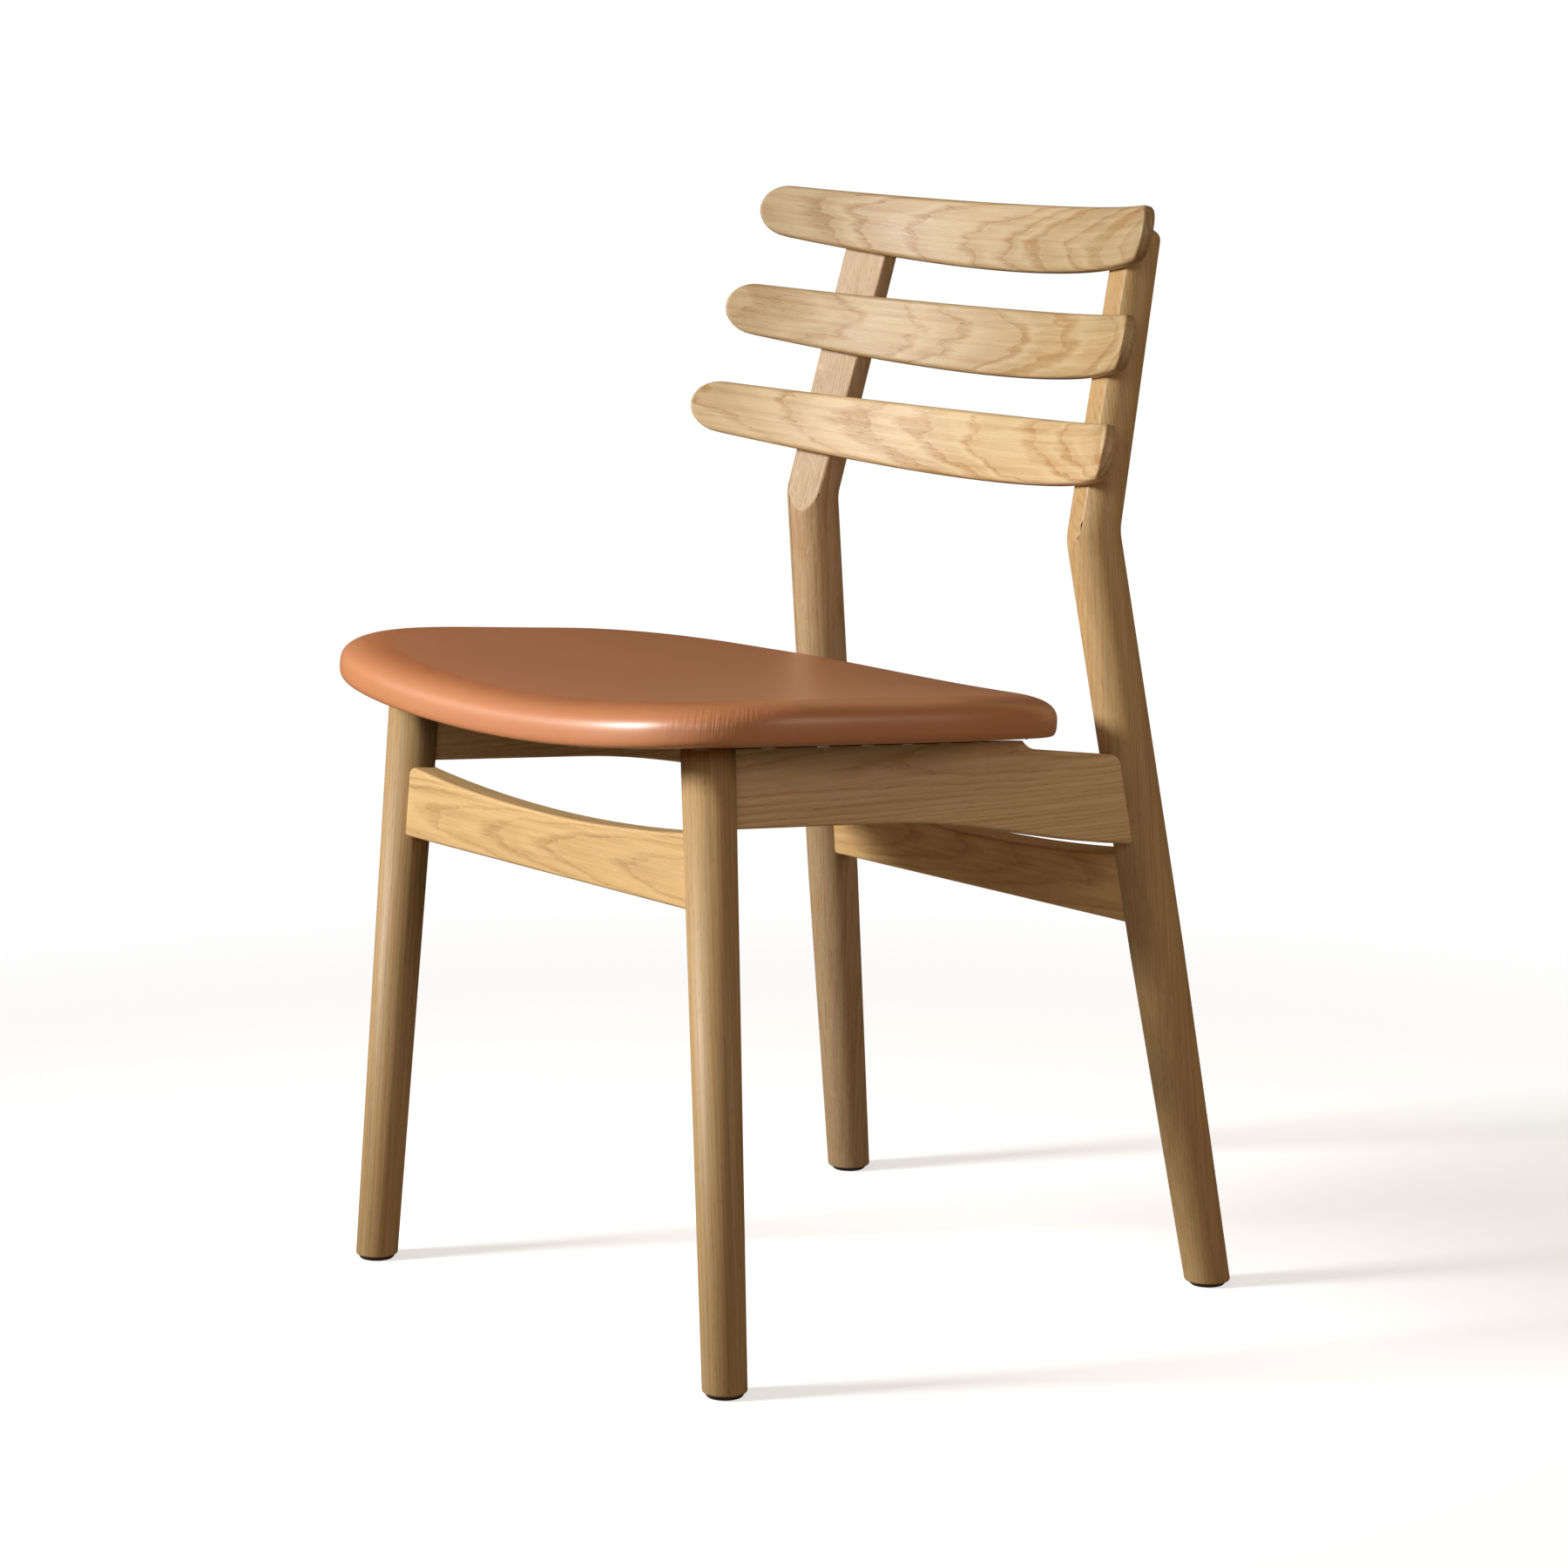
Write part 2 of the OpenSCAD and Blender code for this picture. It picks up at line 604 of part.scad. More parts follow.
// ---- Seat screws and inserts; Z runs up through the rail, square to the seat ----
screw_places = [front_l(rest_w(0)) + screw_front, rest_end - screw_rear];
screw_tilt = atan(tan(seat_tilt) / side_up.z);
insert_slope = 0.7;                                        // clear of the shell's slope
insert_start = leather_t + layer_gap - rest_h + insert_slope;
module at_screws() {
  for (l = screw_places)
    side_plane() translate([0, l, rest_w(l)]) rotate([-screw_tilt, 0, 0]) children();
}
head_gap = 1.5;                                            // round a screw's head
hex_d = screw_d * 0.9;
module screw_holes() {
  at_screws() {
    translate([0, 0, -screw_grip - end_gap])
      cylinder(d = screw_d + screw_gap, h = screw_grip + insert_length, $fn = 32);
    translate([0, 0, -2 * run_out])
      cylinder(d = screw_head_d + head_gap, h = 2 * run_out - screw_grip, $fn = 32);
  }
}
module insert_holes() {
  at_screws() translate([0, 0, -end_gap])
    cylinder(d = insert_d + bore_gap, h = insert_start + insert_length + 1.5 * end_gap, $fn = 32);
}
module seat_screws() {
  color("dimgray") both_sides() at_screws() difference() {
    union() {
      translate([0, 0, -screw_grip - screw_head_h])
        cylinder(d = screw_head_d, h = screw_head_h, $fn = 32);
      translate([0, 0, -screw_grip])
        cylinder(d = screw_d, h = screw_grip + insert_start + insert_length - end_gap, $fn = 32);
    }
    translate([0, 0, -screw_grip - screw_head_h - end_gap])
      cylinder(d = hex_d, h = screw_head_h / 2 + end_gap, $fn = 6);
  }
}
module seat_inserts() {
  color("goldenrod") both_sides() at_screws() translate([0, 0, insert_start]) difference() {
    cylinder(d = insert_d, h = insert_length, $fn = 32);
    translate([0, 0, -end_gap])
      cylinder(d = screw_d + bore_gap, h = insert_length + 2 * end_gap, $fn = 32);
  }
}

// ---- Dowels ----
module rail_dowels() {
  color(PALE_WOOD) both_sides() rail_dowel(dowel_d, dowel_length, dowel_start);
}
module stretcher_dowels() {
  color(PALE_WOOD) both_sides() stretcher_dowel(dowel_d, dowel_length, dowel_start);
}
module slat_dowels() {
  color(PALE_WOOD) both_sides() for (i = [0:2]) back_frame() translate([0, 0, slat_w(i)])
    slat_dowel(i, slat_dowel_d, slat_dowel_in, leg_dowel_in);
}

// ---- Glides ----
nail_d = 3;
nail_head_d = 8;
nail_head_h = 1;
nail_head_gap = 0.4;
head_recess = nail_head_h + 0.3;
glide_edge = 1;
module nail_hole(p) {
  translate([p.x, p.y, 0])
    cylinder(d = nail_d + bore_gap, h = glide_h + nail_length + end_gap, $fn = 24);
}
module glide(p) {
  color("dimgray") translate([p.x, p.y, 0]) difference() {
    rotate_extrude($fn = 48)
      polygon([[0, 0], [glide_d / 2 - glide_edge, 0], [glide_d / 2, glide_edge],
               [glide_d / 2, glide_h], [0, glide_h]]);
    translate([0, 0, -end_gap])
      cylinder(d = nail_d + bore_gap, h = glide_h + 2 * end_gap, $fn = 24);
    translate([0, 0, -end_gap])
      cylinder(d = nail_head_d + nail_head_gap, h = head_recess + end_gap, $fn = 32);
  }
}
module glide_nails() {
  color(STEEL) both_sides() for (p = [front_axis(glide_h), rear_axis(glide_h)])
    translate([p.x, p.y, head_recess - nail_head_h]) {
      cylinder(d = nail_head_d, h = nail_head_h, $fn = 32);
      cylinder(d = nail_d, h = glide_h + nail_length - head_recess + nail_head_h, $fn = 24);
    }
}

on_side(1) front_leg();  // front_leg_left
on_side(-1) front_leg();  // front_leg_right
on_side(1) rear_leg();  // rear_leg_left
on_side(-1) rear_leg();  // rear_leg_right
on_side(1) side_rail();  // side_rail_left
on_side(-1) side_rail();  // side_rail_right
stretcher(front_span);  // front_stretcher
stretcher(rear_span);  // rear_stretcher
slat(0);  // bottom_slat
slat(1);  // middle_slat
slat(2);  // top_slat
seat_shell();
seat_foam();
seat_leather();
seat_underlining();
cover_staples();
seat_screws();
seat_inserts();
rail_dowels();
stretcher_dowels();
slat_dowels();
on_side(1) glide(front_axis(glide_h));  // front_glide_left
on_side(-1) glide(front_axis(glide_h));  // front_glide_right
on_side(1) glide(rear_axis(glide_h));  // rear_glide_left
on_side(-1) glide(rear_axis(glide_h));  // rear_glide_right
glide_nails();
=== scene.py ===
"""Dining chair in oak with a leather seat, dressed for rendering over its CAD frame.

Lengths are in metres. X runs to the sitter's left, Y to the back and Z up from the floor.
"""
import json
import logging
import math
from dataclasses import dataclass, field
from enum import Enum
from typing import Sequence

import bmesh
import bpy
from mathutils import Matrix, Vector


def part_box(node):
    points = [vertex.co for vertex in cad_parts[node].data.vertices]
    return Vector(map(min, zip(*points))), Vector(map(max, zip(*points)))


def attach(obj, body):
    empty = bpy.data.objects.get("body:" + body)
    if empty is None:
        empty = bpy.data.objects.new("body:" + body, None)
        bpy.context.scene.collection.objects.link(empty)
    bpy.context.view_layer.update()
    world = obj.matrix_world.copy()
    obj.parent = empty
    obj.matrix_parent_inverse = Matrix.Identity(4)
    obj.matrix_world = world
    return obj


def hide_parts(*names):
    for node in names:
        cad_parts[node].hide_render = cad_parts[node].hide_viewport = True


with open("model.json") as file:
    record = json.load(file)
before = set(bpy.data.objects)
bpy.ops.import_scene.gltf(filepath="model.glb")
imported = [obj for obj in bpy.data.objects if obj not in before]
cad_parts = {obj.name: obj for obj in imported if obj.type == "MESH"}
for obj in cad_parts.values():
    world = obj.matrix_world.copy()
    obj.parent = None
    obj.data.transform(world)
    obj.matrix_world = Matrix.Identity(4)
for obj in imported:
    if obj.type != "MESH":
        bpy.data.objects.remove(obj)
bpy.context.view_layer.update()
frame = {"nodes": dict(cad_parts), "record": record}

log = logging.getLogger("dining_chair")

Point = tuple[float, float]
BODY = "root"
GRAIN = "grain"
MM = 0.001


class Side(Enum):
    """Which side of the chair a piece is on, and the sign of its X."""

    LEFT = 1
    RIGHT = -1

    @property
    def word(self) -> str:
        """The side's name as the pieces' names give it."""
        return self.name.lower()


class Slot(Enum):
    """Material slots of the record."""

    OAK = "oak"
    LEATHER = "leather"
    FOAM = "foam"
    PLYWOOD = "plywood"
    DOWEL = "dowel_beech"
    UNDERLINING = "underlining"
    ZINC = "zinc_steel"
    BLACK_STEEL = "black_steel"
    BRASS = "brass"
    GLIDE = "glide_plastic"


# ---- Sizes and layout ----

def tan(degrees: float) -> float:
    """Tangent of an angle in degrees."""
    return math.tan(math.radians(degrees))


def ease(t: float) -> float:
    """Smooth step from 0 to 1.

    Args:
        t: Place along the step; outside 0 to 1 it stays at the ends.

    Returns:
        The height of the step there.
    """
    return (1 - math.cos(math.pi * min(max(t, 0), 1))) / 2


def face_reach(radius: float, half_thickness: float) -> float:
    """Distance from a round leg's axis to where a board's face meets it."""
    return math.sqrt(radius ** 2 - half_thickness ** 2)


def placing(origin: Vector, direction: Vector, back: Vector = Vector((0, 1, 0))) -> Matrix:
    """Frame whose Z runs along a direction and whose Y is as near to back as it can be.

    Args:
        origin: Where the frame's zero is.
        direction: Where its Z points.
        back: Where its Y points, as nearly as it can.

    Returns:
        The matrix from the frame to the chair.
    """
    z = direction.normalized()
    y = (back - back.dot(z) * z).normalized()
    x = y.cross(z)
    turn = Matrix((x, y, z)).transposed().to_4x4()
    return Matrix.Translation(origin) @ turn


@dataclass(frozen=True)
class ChairSizes:
    """The chair's sizes, in metres and degrees, as its drawing has them."""

    overall_depth: float = 0.520
    seat_front_height: float = 0.431
    elbow_height: float = 0.556
    leg_past_slat: float = 0.010
    front_foot_spacing: float = 0.437
    front_foot_setback: float = 0.0575
    front_foot_d: float = 0.031
    front_leg_top_d: float = 0.037
    front_rake: float = 2.15
    rear_foot_spacing: float = 0.426
    rear_foot_d: float = 0.033
    rear_leg_d: float = 0.039
    rear_taper_height: float = 0.250
    rear_rake: float = 7.85
    side_lean: float = 5.15
    back_lean: float = 13.8
    upper_splay: float = 4.8
    flat_turn: float = 22.2
    flat_depth: float = 0.0103
    leg_end_round: float = 0.007
    rail_t: float = 0.020
    rail_front_h: float = 0.0545
    rail_rear_drop: float = 0.0225
    rail_sweep_length: float = 0.250
    rest_setback: float = 0.112
    rest_step_h: float = 0.0065
    rest_step_length: float = 0.0115
    rear_top_slope: float = 8.6
    rail_corner_r: float = 0.007
    stretcher_t: float = 0.020
    stretcher_end_h: float = 0.052
    stretcher_hollow: float = 0.010
    front_stretcher_z: float = 0.3265
    rear_stretcher_z: float = 0.2725
    first_slat_s: float = 0.0515
    slat_pitch: float = 0.0785
    slat_t: float = 0.010
    slat_mid_h: float = 0.050
    slat_end_h: float = 0.039
    slat_length: float = 0.481
    slat_step: float = 0.0203
    seat_width: float = 0.496
    seat_length: float = 0.450
    seat_tilt: float = 4.4
    dish_r: float = 1.500
    seat_t: float = 0.031
    front_square: float = 4.8
    rear_square: float = 2.2
    seat_taper: float = 0.05
    front_bow: float = 0.005
    edge_h: float = 0.0112
    under_roll: float = 0.0066
    top_roll: float = 0.036
    flap_w: float = 0.030
    lining_t: float = 0.001
    glide_h: float = 0.003
    cope_gap: float = 0.0001
    rest_h: float = -0.0002


class Layout:
    """Where the chair's axes and planes lie, worked out from its sizes."""

    def __init__(self, sizes: ChairSizes) -> None:
        """Works out the feet, the elbow, the back's frame and the side's plane.

        Args:
            sizes: The chair's sizes.
        """
        s = sizes
        self.sizes = s
        self.front_foot = Vector((s.front_foot_spacing / 2,
                                  s.front_foot_setback - s.overall_depth / 2, 0))
        self.front_lean = Vector((-tan(s.side_lean), tan(s.front_rake), 1))
        self.rear_foot = Vector((s.rear_foot_spacing / 2,
                                 (s.overall_depth - s.rear_foot_d) / 2, 0))
        self.rear_lean = Vector((-tan(s.side_lean), -tan(s.rear_rake), 1))
        self.elbow = self.rear_axis(s.elbow_height)
        self.lower_dir = self.rear_lean.normalized()
        self.upper_dir = Vector((-tan(s.upper_splay), tan(s.back_lean), 1)).normalized()
        self.mitre_dir = (self.lower_dir + self.upper_dir).normalized()

        self.back_dir = Vector((0, tan(s.back_lean), 1)).normalized()
        self.back_origin = Vector((0, self.elbow.y, self.elbow.z))
        self.back_frame = placing(self.back_origin, self.back_dir)
        reach_x = self.upper_axis(self.slat_s(1)).x
        turn = math.radians(s.flat_turn)
        self.back_r = reach_x / math.sin(turn) - s.flat_depth
        self.back_reach = reach_x / math.tan(turn)
        self.upper_length = self.slat_s(2) + s.leg_past_slat

        run = self.rear_foot - self.front_foot
        self.side_run = Vector((run.x, run.y, 0)).normalized()
        inward = Vector((-self.side_run.y, self.side_run.x, 0))
        lean = math.radians(s.side_lean)
        self.side_up = inward * math.sin(lean) + Vector((0, 0, math.cos(lean)))

        tilt = math.radians(s.seat_tilt)
        self.seat_origin = Vector((0, -s.overall_depth / 2 - s.edge_h * math.sin(tilt),
                                   s.seat_front_height))
        self.seat_frame = (Matrix.Translation(self.seat_origin)
                           @ Matrix.Rotation(-tilt, 4, "X"))

    def front_axis(self, z: float) -> Vector:
        """Point of the left front leg's axis at a height."""
        return self.front_foot + z * self.front_lean

    def rear_axis(self, z: float) -> Vector:
        """Point of the left rear leg's lower axis at a height."""
        return self.rear_foot + z * self.rear_lean

    def upper_axis(self, s: float) -> Vector:
        """Point of the left rear leg's upper axis, so far from the elbow."""
        return self.elbow + s * self.upper_dir

    def slat_s(self, index: int) -> float:
        """Distance of a slat from the elbow along the leg."""
        return self.sizes.first_slat_s + index * self.sizes.slat_pitch

    def slat_w(self, index: int) -> float:
        """Height of a slat's middle line in the back's frame."""
        return (self.upper_axis(self.slat_s(index)) - self.back_origin).dot(self.back_dir)

    def front_radius(self, z: float) -> float:
        """Radius of a front leg at a height."""
        s = self.sizes
        share = z / s.seat_front_height
        return (s.front_foot_d + (s.front_leg_top_d - s.front_foot_d) * share) / 2

    def rear_radius(self, z: float) -> float:
        """Radius of a rear leg's lower part at a height."""
        s = self.sizes
        share = min(z / s.rear_taper_height, 1)
        return (s.rear_foot_d + (s.rear_leg_d - s.rear_foot_d) * share) / 2

    def dish(self, x: float, h: float) -> float:
        """Height in the seat's frame of the dished surface that lies h up in the middle."""
        r = self.sizes.dish_r
        return r - math.sqrt((r - h) ** 2 - x ** 2)

    def seat_z(self, x: float, y: float, h: float) -> float:
        """Height above the floor of that dished surface."""
        tilt = math.radians(self.sizes.seat_tilt)
        return (self.seat_origin.z + self.dish(x, h) / math.cos(tilt)
                - (y - self.seat_origin.y) * math.tan(tilt))

    def under_seat(self, near: Vector) -> tuple[Vector, Vector]:
        """The plane of the seat's underside near a point.

        Args:
            near: The point; its height doesn't matter.

        Returns:
            A point just under the seat, and the plane's normal.
        """
        h, step = self.sizes.rest_h, MM
        z = self.seat_z(near.x, near.y, h)
        slope_x = (self.seat_z(near.x + step, near.y, h) - z) / step
        slope_y = (self.seat_z(near.x, near.y + step, h) - z) / step
        return Vector((near.x, near.y, z - 0.2 * MM)), Vector((-slope_x, -slope_y, 1))

    def rest_w(self, along: float) -> float:
        """Height of the seat's underside over the rail's middle, in the side's plane."""
        p = self.front_foot + along * self.side_run
        p = p + self.sizes.seat_front_height * self.side_up
        return self.seat_z(p.x, p.y, self.sizes.rest_h) / self.side_up.z

    def front_l(self, w: float) -> float:
        """Where the front leg's axis is in the side's plane."""
        return w * self.front_lean.dot(self.side_run) / self.front_lean.dot(self.side_up)

    def rear_l(self, w: float) -> float:
        """Where the rear leg's axis is in the side's plane."""
        start = (self.rear_foot - self.front_foot).dot(self.side_run)
        return start + w * self.rear_lean.dot(self.side_run) / self.rear_lean.dot(self.side_up)


# ---- Making meshes ----

class Bench:
    """Mesh steps that the wooden pieces share."""

    @staticmethod
    def plate(bm: bmesh.types.BMesh, outline: Sequence[Point], thickness: float) -> None:
        """Makes a board of an outline in X and Y, with its thickness centred on Z.

        Args:
            bm: The empty mesh.
            outline: The outline's corners, in order.
            thickness: The board's thickness.
        """
        made = bmesh.ops.create_circle(bm, cap_ends=True, segments=len(outline), radius=1)
        for vert, (x, y) in zip(made["verts"], outline):
            vert.co = (x, y, -thickness / 2)
        grown = bmesh.ops.extrude_face_region(bm, geom=bm.faces[:])
        moved = [v for v in grown["geom"] if isinstance(v, bmesh.types.BMVert)]
        bmesh.ops.translate(bm, verts=moved, vec=(0, 0, thickness))
        bmesh.ops.recalc_face_normals(bm, faces=bm.faces)

    @staticmethod
    def round_corner(bm: bmesh.types.BMesh, corner: Point, radius: float) -> None:
        """Rounds the edge that runs through a board at one corner of its outline."""
        def is_there(edge: bmesh.types.BMEdge) -> bool:
            """Says whether an edge runs through the board at the corner."""
            return all(math.dist(v.co[:2], corner) < 0.01 * MM for v in edge.verts)
        edges = [e for e in bm.edges if is_there(e)]
        Bench.bevel(bm, edges, radius, 6)

    @staticmethod
    def bevel(bm: bmesh.types.BMesh, edges: Sequence[bmesh.types.BMEdge], size: float,
              segments: int) -> None:
        """Rounds edges.

        Args:
            bm: The mesh.
            edges: The edges to round.
            size: Distance of the round's sides from each edge.
            segments: Faces across the round.
        """
        bmesh.ops.bevel(bm, geom=list(edges), offset=size, offset_type="OFFSET",
                        affect="EDGES", segments=segments, profile=0.5, material=-1,
                        clamp_overlap=False)

    @staticmethod
    def rim(bm: bmesh.types.BMesh, size: float, segments: int = 4) -> None:
        """Rounds a board's long edges, between its faces and its sides."""
        def is_rim(edge: bmesh.types.BMEdge) -> bool:
            """Says whether an edge lies between a face and a side of the board."""
            flat = [abs(f.normal.z) > 0.9 for f in edge.link_faces]
            return len(flat) == 2 and flat[0] != flat[1]
        Bench.bevel(bm, [e for e in bm.edges if is_rim(e)], size, segments)

    @staticmethod
    def cut(bm: bmesh.types.BMesh, point: Vector, normal: Vector) -> list[bmesh.types.BMEdge]:
        """Cuts away what lies on a plane's outer side and closes the cut.

        Args:
            bm: The mesh.
            point: A point of the plane.
            normal: Where the plane faces.

        Returns:
            The edges round the cut.
        """
        geom = bm.verts[:] + bm.edges[:] + bm.faces[:]
        made = bmesh.ops.bisect_plane(bm, geom=geom, plane_co=point, plane_no=normal,
                                      clear_outer=True)
        edges = [e for e in made["geom_cut"] if isinstance(e, bmesh.types.BMEdge)]
        bmesh.ops.edgeloop_fill(bm, edges=edges)
        return edges

    @staticmethod
    def lengthen(bm: bmesh.types.BMesh, ring: Sequence[bmesh.types.BMEdge]
                 ) -> tuple[list[bmesh.types.BMVert], list[bmesh.types.BMEdge]]:
        """Extrudes a ring of edges.

        Args:
            bm: The mesh.
            ring: The ring to extrude.

        Returns:
            The new ring's points and its edges.
        """
        made = bmesh.ops.extrude_edge_only(bm, edges=list(ring))["geom"]
        verts = [g for g in made if isinstance(g, bmesh.types.BMVert)]
        new = set(verts)
        edges = [g for g in made if isinstance(g, bmesh.types.BMEdge) and set(g.verts) <= new]
        return verts, edges

    @staticmethod
    def mark_grain(bm: bmesh.types.BMesh, to_board: Matrix) -> None:
        """Writes each point's place in the board, whose grain runs along Z.

        Args:
            bm: The mesh.
            to_board: From the mesh as it lies now to the board.
        """
        layer = bm.verts.layers.float_vector.get(GRAIN)
        layer = layer or bm.verts.layers.float_vector.new(GRAIN)
        for vert in bm.verts:
            vert[layer] = to_board @ vert.co

    @staticmethod
    def along_board(low: float = 0) -> Matrix:
        """Turns a board that lies along X, from a height up, so that its grain runs along Z."""
        return Matrix(((0, 1, 0, -low), (0, 0, 1, 0), (1, 0, 0, 0), (0, 0, 0, 1)))

    @staticmethod
    def place(bm: bmesh.types.BMesh, matrix: Matrix, side: Side = Side.LEFT) -> None:
        """Moves a mesh into the chair, and over to its right side where it belongs there."""
        bmesh.ops.transform(bm, matrix=matrix, verts=bm.verts)
        if side is Side.RIGHT:
            bmesh.ops.scale(bm, vec=(-1, 1, 1), verts=bm.verts)
            bmesh.ops.reverse_faces(bm, faces=bm.faces)

    @staticmethod
    def piece(bm: bmesh.types.BMesh, name: str, nodes: Sequence[str], slot: Slot,
              material: bpy.types.Material) -> bpy.types.Object:
        """Turns a mesh into a piece of the chair that stands for its CAD nodes.

        Args:
            bm: The finished mesh, which is used up.
            name: The piece's name.
            nodes: The CAD nodes that it stands for.
            slot: The record's material slot; not used.
            material: Its finish.

        Returns:
            The piece.
        """
        mesh = bpy.data.meshes.new(name)
        bm.to_mesh(mesh)
        bm.free()
        mesh.shade_smooth()
        piece = bpy.data.objects.new(name, mesh)
        bpy.context.scene.collection.objects.link(piece)
        mesh.materials.append(material)
        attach(piece, BODY)
        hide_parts(*nodes)
        Bench.report(piece, nodes[0])
        return piece

    @staticmethod
    def wooden(bm: bmesh.types.BMesh, made: str, name: str, material: bpy.types.Material
               ) -> bpy.types.Object:
        """Finishes a wooden piece.

        Args:
            bm: The finished mesh, which is used up.
            made: How it is made, for its name.
            name: The CAD node that it stands for.
            material: Its oak.

        Returns:
            The piece.
        """
        piece = Bench.piece(bm, f"{made}_{name}", [name], Slot.OAK, material)
        Bench.keep_flats(piece)
        return piece

    @staticmethod
    def report(piece: bpy.types.Object, node: str) -> None:
        """Logs a piece and how far its box is from its CAD node's."""
        low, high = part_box(node)
        corners = [v.co for v in piece.data.vertices]
        off = [max(abs(min(c[k] for c in corners) - low[k]),
                   abs(max(c[k] for c in corners) - high[k])) for k in range(3)]
        log.info("%s: %d faces, box within %.1f mm of %s", piece.name,
                 len(piece.data.polygons), max(off) / MM, node)

    @staticmethod
    def keep_flats(piece: bpy.types.Object) -> None:
        """Shades the flats flat and only the rounds round."""
        weighted = piece.modifiers.new("flats", "WEIGHTED_NORMAL")
        weighted.keep_sharp = True
        weighted.weight = 60


# ---- Finishes ----

Socket = bpy.types.NodeSocket


class Graph:
    """Writes a material's nodes as one reads them, from the pattern to the surface."""

    def __init__(self, name: str) -> None:
        """Starts a material that has a principled surface.

        Args:
            name: The material's name.
        """
        self.material = bpy.data.materials.new(name)
        self.material.use_nodes = True
        self.tree = self.material.node_tree
        self.tree.nodes.clear()
        self.output = self.tree.nodes.new("ShaderNodeOutputMaterial")
        self.surface = self.tree.nodes.new("ShaderNodeBsdfPrincipled")
        self.join(self.surface.outputs[0], self.output.inputs["Surface"])

    def join(self, source: object, target: Socket) -> None:
        """Links a socket to an input, or sets the input to a plain value."""
        if isinstance(source, bpy.types.NodeSocket):
            self.tree.links.new(source, target)
        else:
            target.default_value = source

    def node(self, kind: str, inputs: dict, out: object = 0, **settings: object) -> Socket:
        """Adds a node.

        Args:
            kind: Its type, without the ShaderNode in front.
            inputs: Its inputs' values or links, by name or number.
            out: The output to read.
            **settings: Its other settings.

        Returns:
            The output.
        """
        made = self.tree.nodes.new("ShaderNode" + kind)
        for key, value in settings.items():
            setattr(made, key, value)
        for key, value in inputs.items():
            self.join(value, made.inputs[key])
        return made.outputs[out]

    def math(self, operation: str, a: object, b: object = 0.0, c: object = 0.0,
             clamp: bool = False) -> Socket:
        """Adds a Math node and returns its value."""
        return self.node("Math", {0: a, 1: b, 2: c}, operation=operation, use_clamp=clamp)

    def vector(self, operation: str, a: object, b: object = (0, 0, 0)) -> Socket:
        """Adds a Vector Math node and returns its vector."""
        return self.node("VectorMath", {0: a, 1: b}, operation=operation)

    def split(self, vector: Socket) -> tuple[Socket, Socket, Socket]:
        """Returns a vector's three parts."""
        out = self.node("SeparateXYZ", {0: vector}).node.outputs
        return out[0], out[1], out[2]

    def noise(self, at: object, stretch: Sequence[float], detail: float = 2.0,
              rough: float = 0.5, out: object = "Fac") -> Socket:
        """Noise with so many lumps to the metre along each axis.

        Args:
            at: Where it is read, in metres.
            stretch: Lumps to the metre in X, Y and Z.
            detail: Finer octaves.
            rough: How strong those are.
            out: "Fac" for a value, "Color" for three.

        Returns:
            The noise, about 0.5.
        """
        return self.node("TexNoise", {"Vector": self.vector("MULTIPLY", at, tuple(stretch)),
                                      "Scale": 1.0, "Detail": detail, "Roughness": rough},
                         out=out)

    def ramp(self, value: object, low: float, high: float, to_low: float = 0.0,
             to_high: float = 1.0, smooth: bool = True) -> Socket:
        """Maps a value from one range to another, and stays within it."""
        return self.node("MapRange", {"Value": value, "From Min": low, "From Max": high,
                                      "To Min": to_low, "To Max": to_high},
                         interpolation_type="SMOOTHSTEP" if smooth else "LINEAR")

    def mix(self, share: object, a: object, b: object, blend: str = "MIX") -> Socket:
        """Mixes two colours."""
        made = self.tree.nodes.new("ShaderNodeMix")
        made.data_type = "RGBA"
        made.blend_type = blend
        self.join(share, made.inputs["Factor"])
        self.join(a, made.inputs[6])
        self.join(b, made.inputs[7])
        return made.outputs[2]

    def bump(self, height: object, distance: float, strength: float = 1.0) -> Socket:
        """A bump as deep as its distance where the height goes from 0 to 1."""
        return self.node("Bump", {"Height": height, "Distance": distance,
                                  "Strength": strength}, out="Normal")


def rgb(red: float, green: float, blue: float) -> tuple[float, float, float, float]:
    """A colour as the sockets take it."""
    return red, green, blue, 1.0


PALE_OAK = rgb(0.615, 0.455, 0.250)
PINK_OAK = rgb(0.590, 0.415, 0.235)


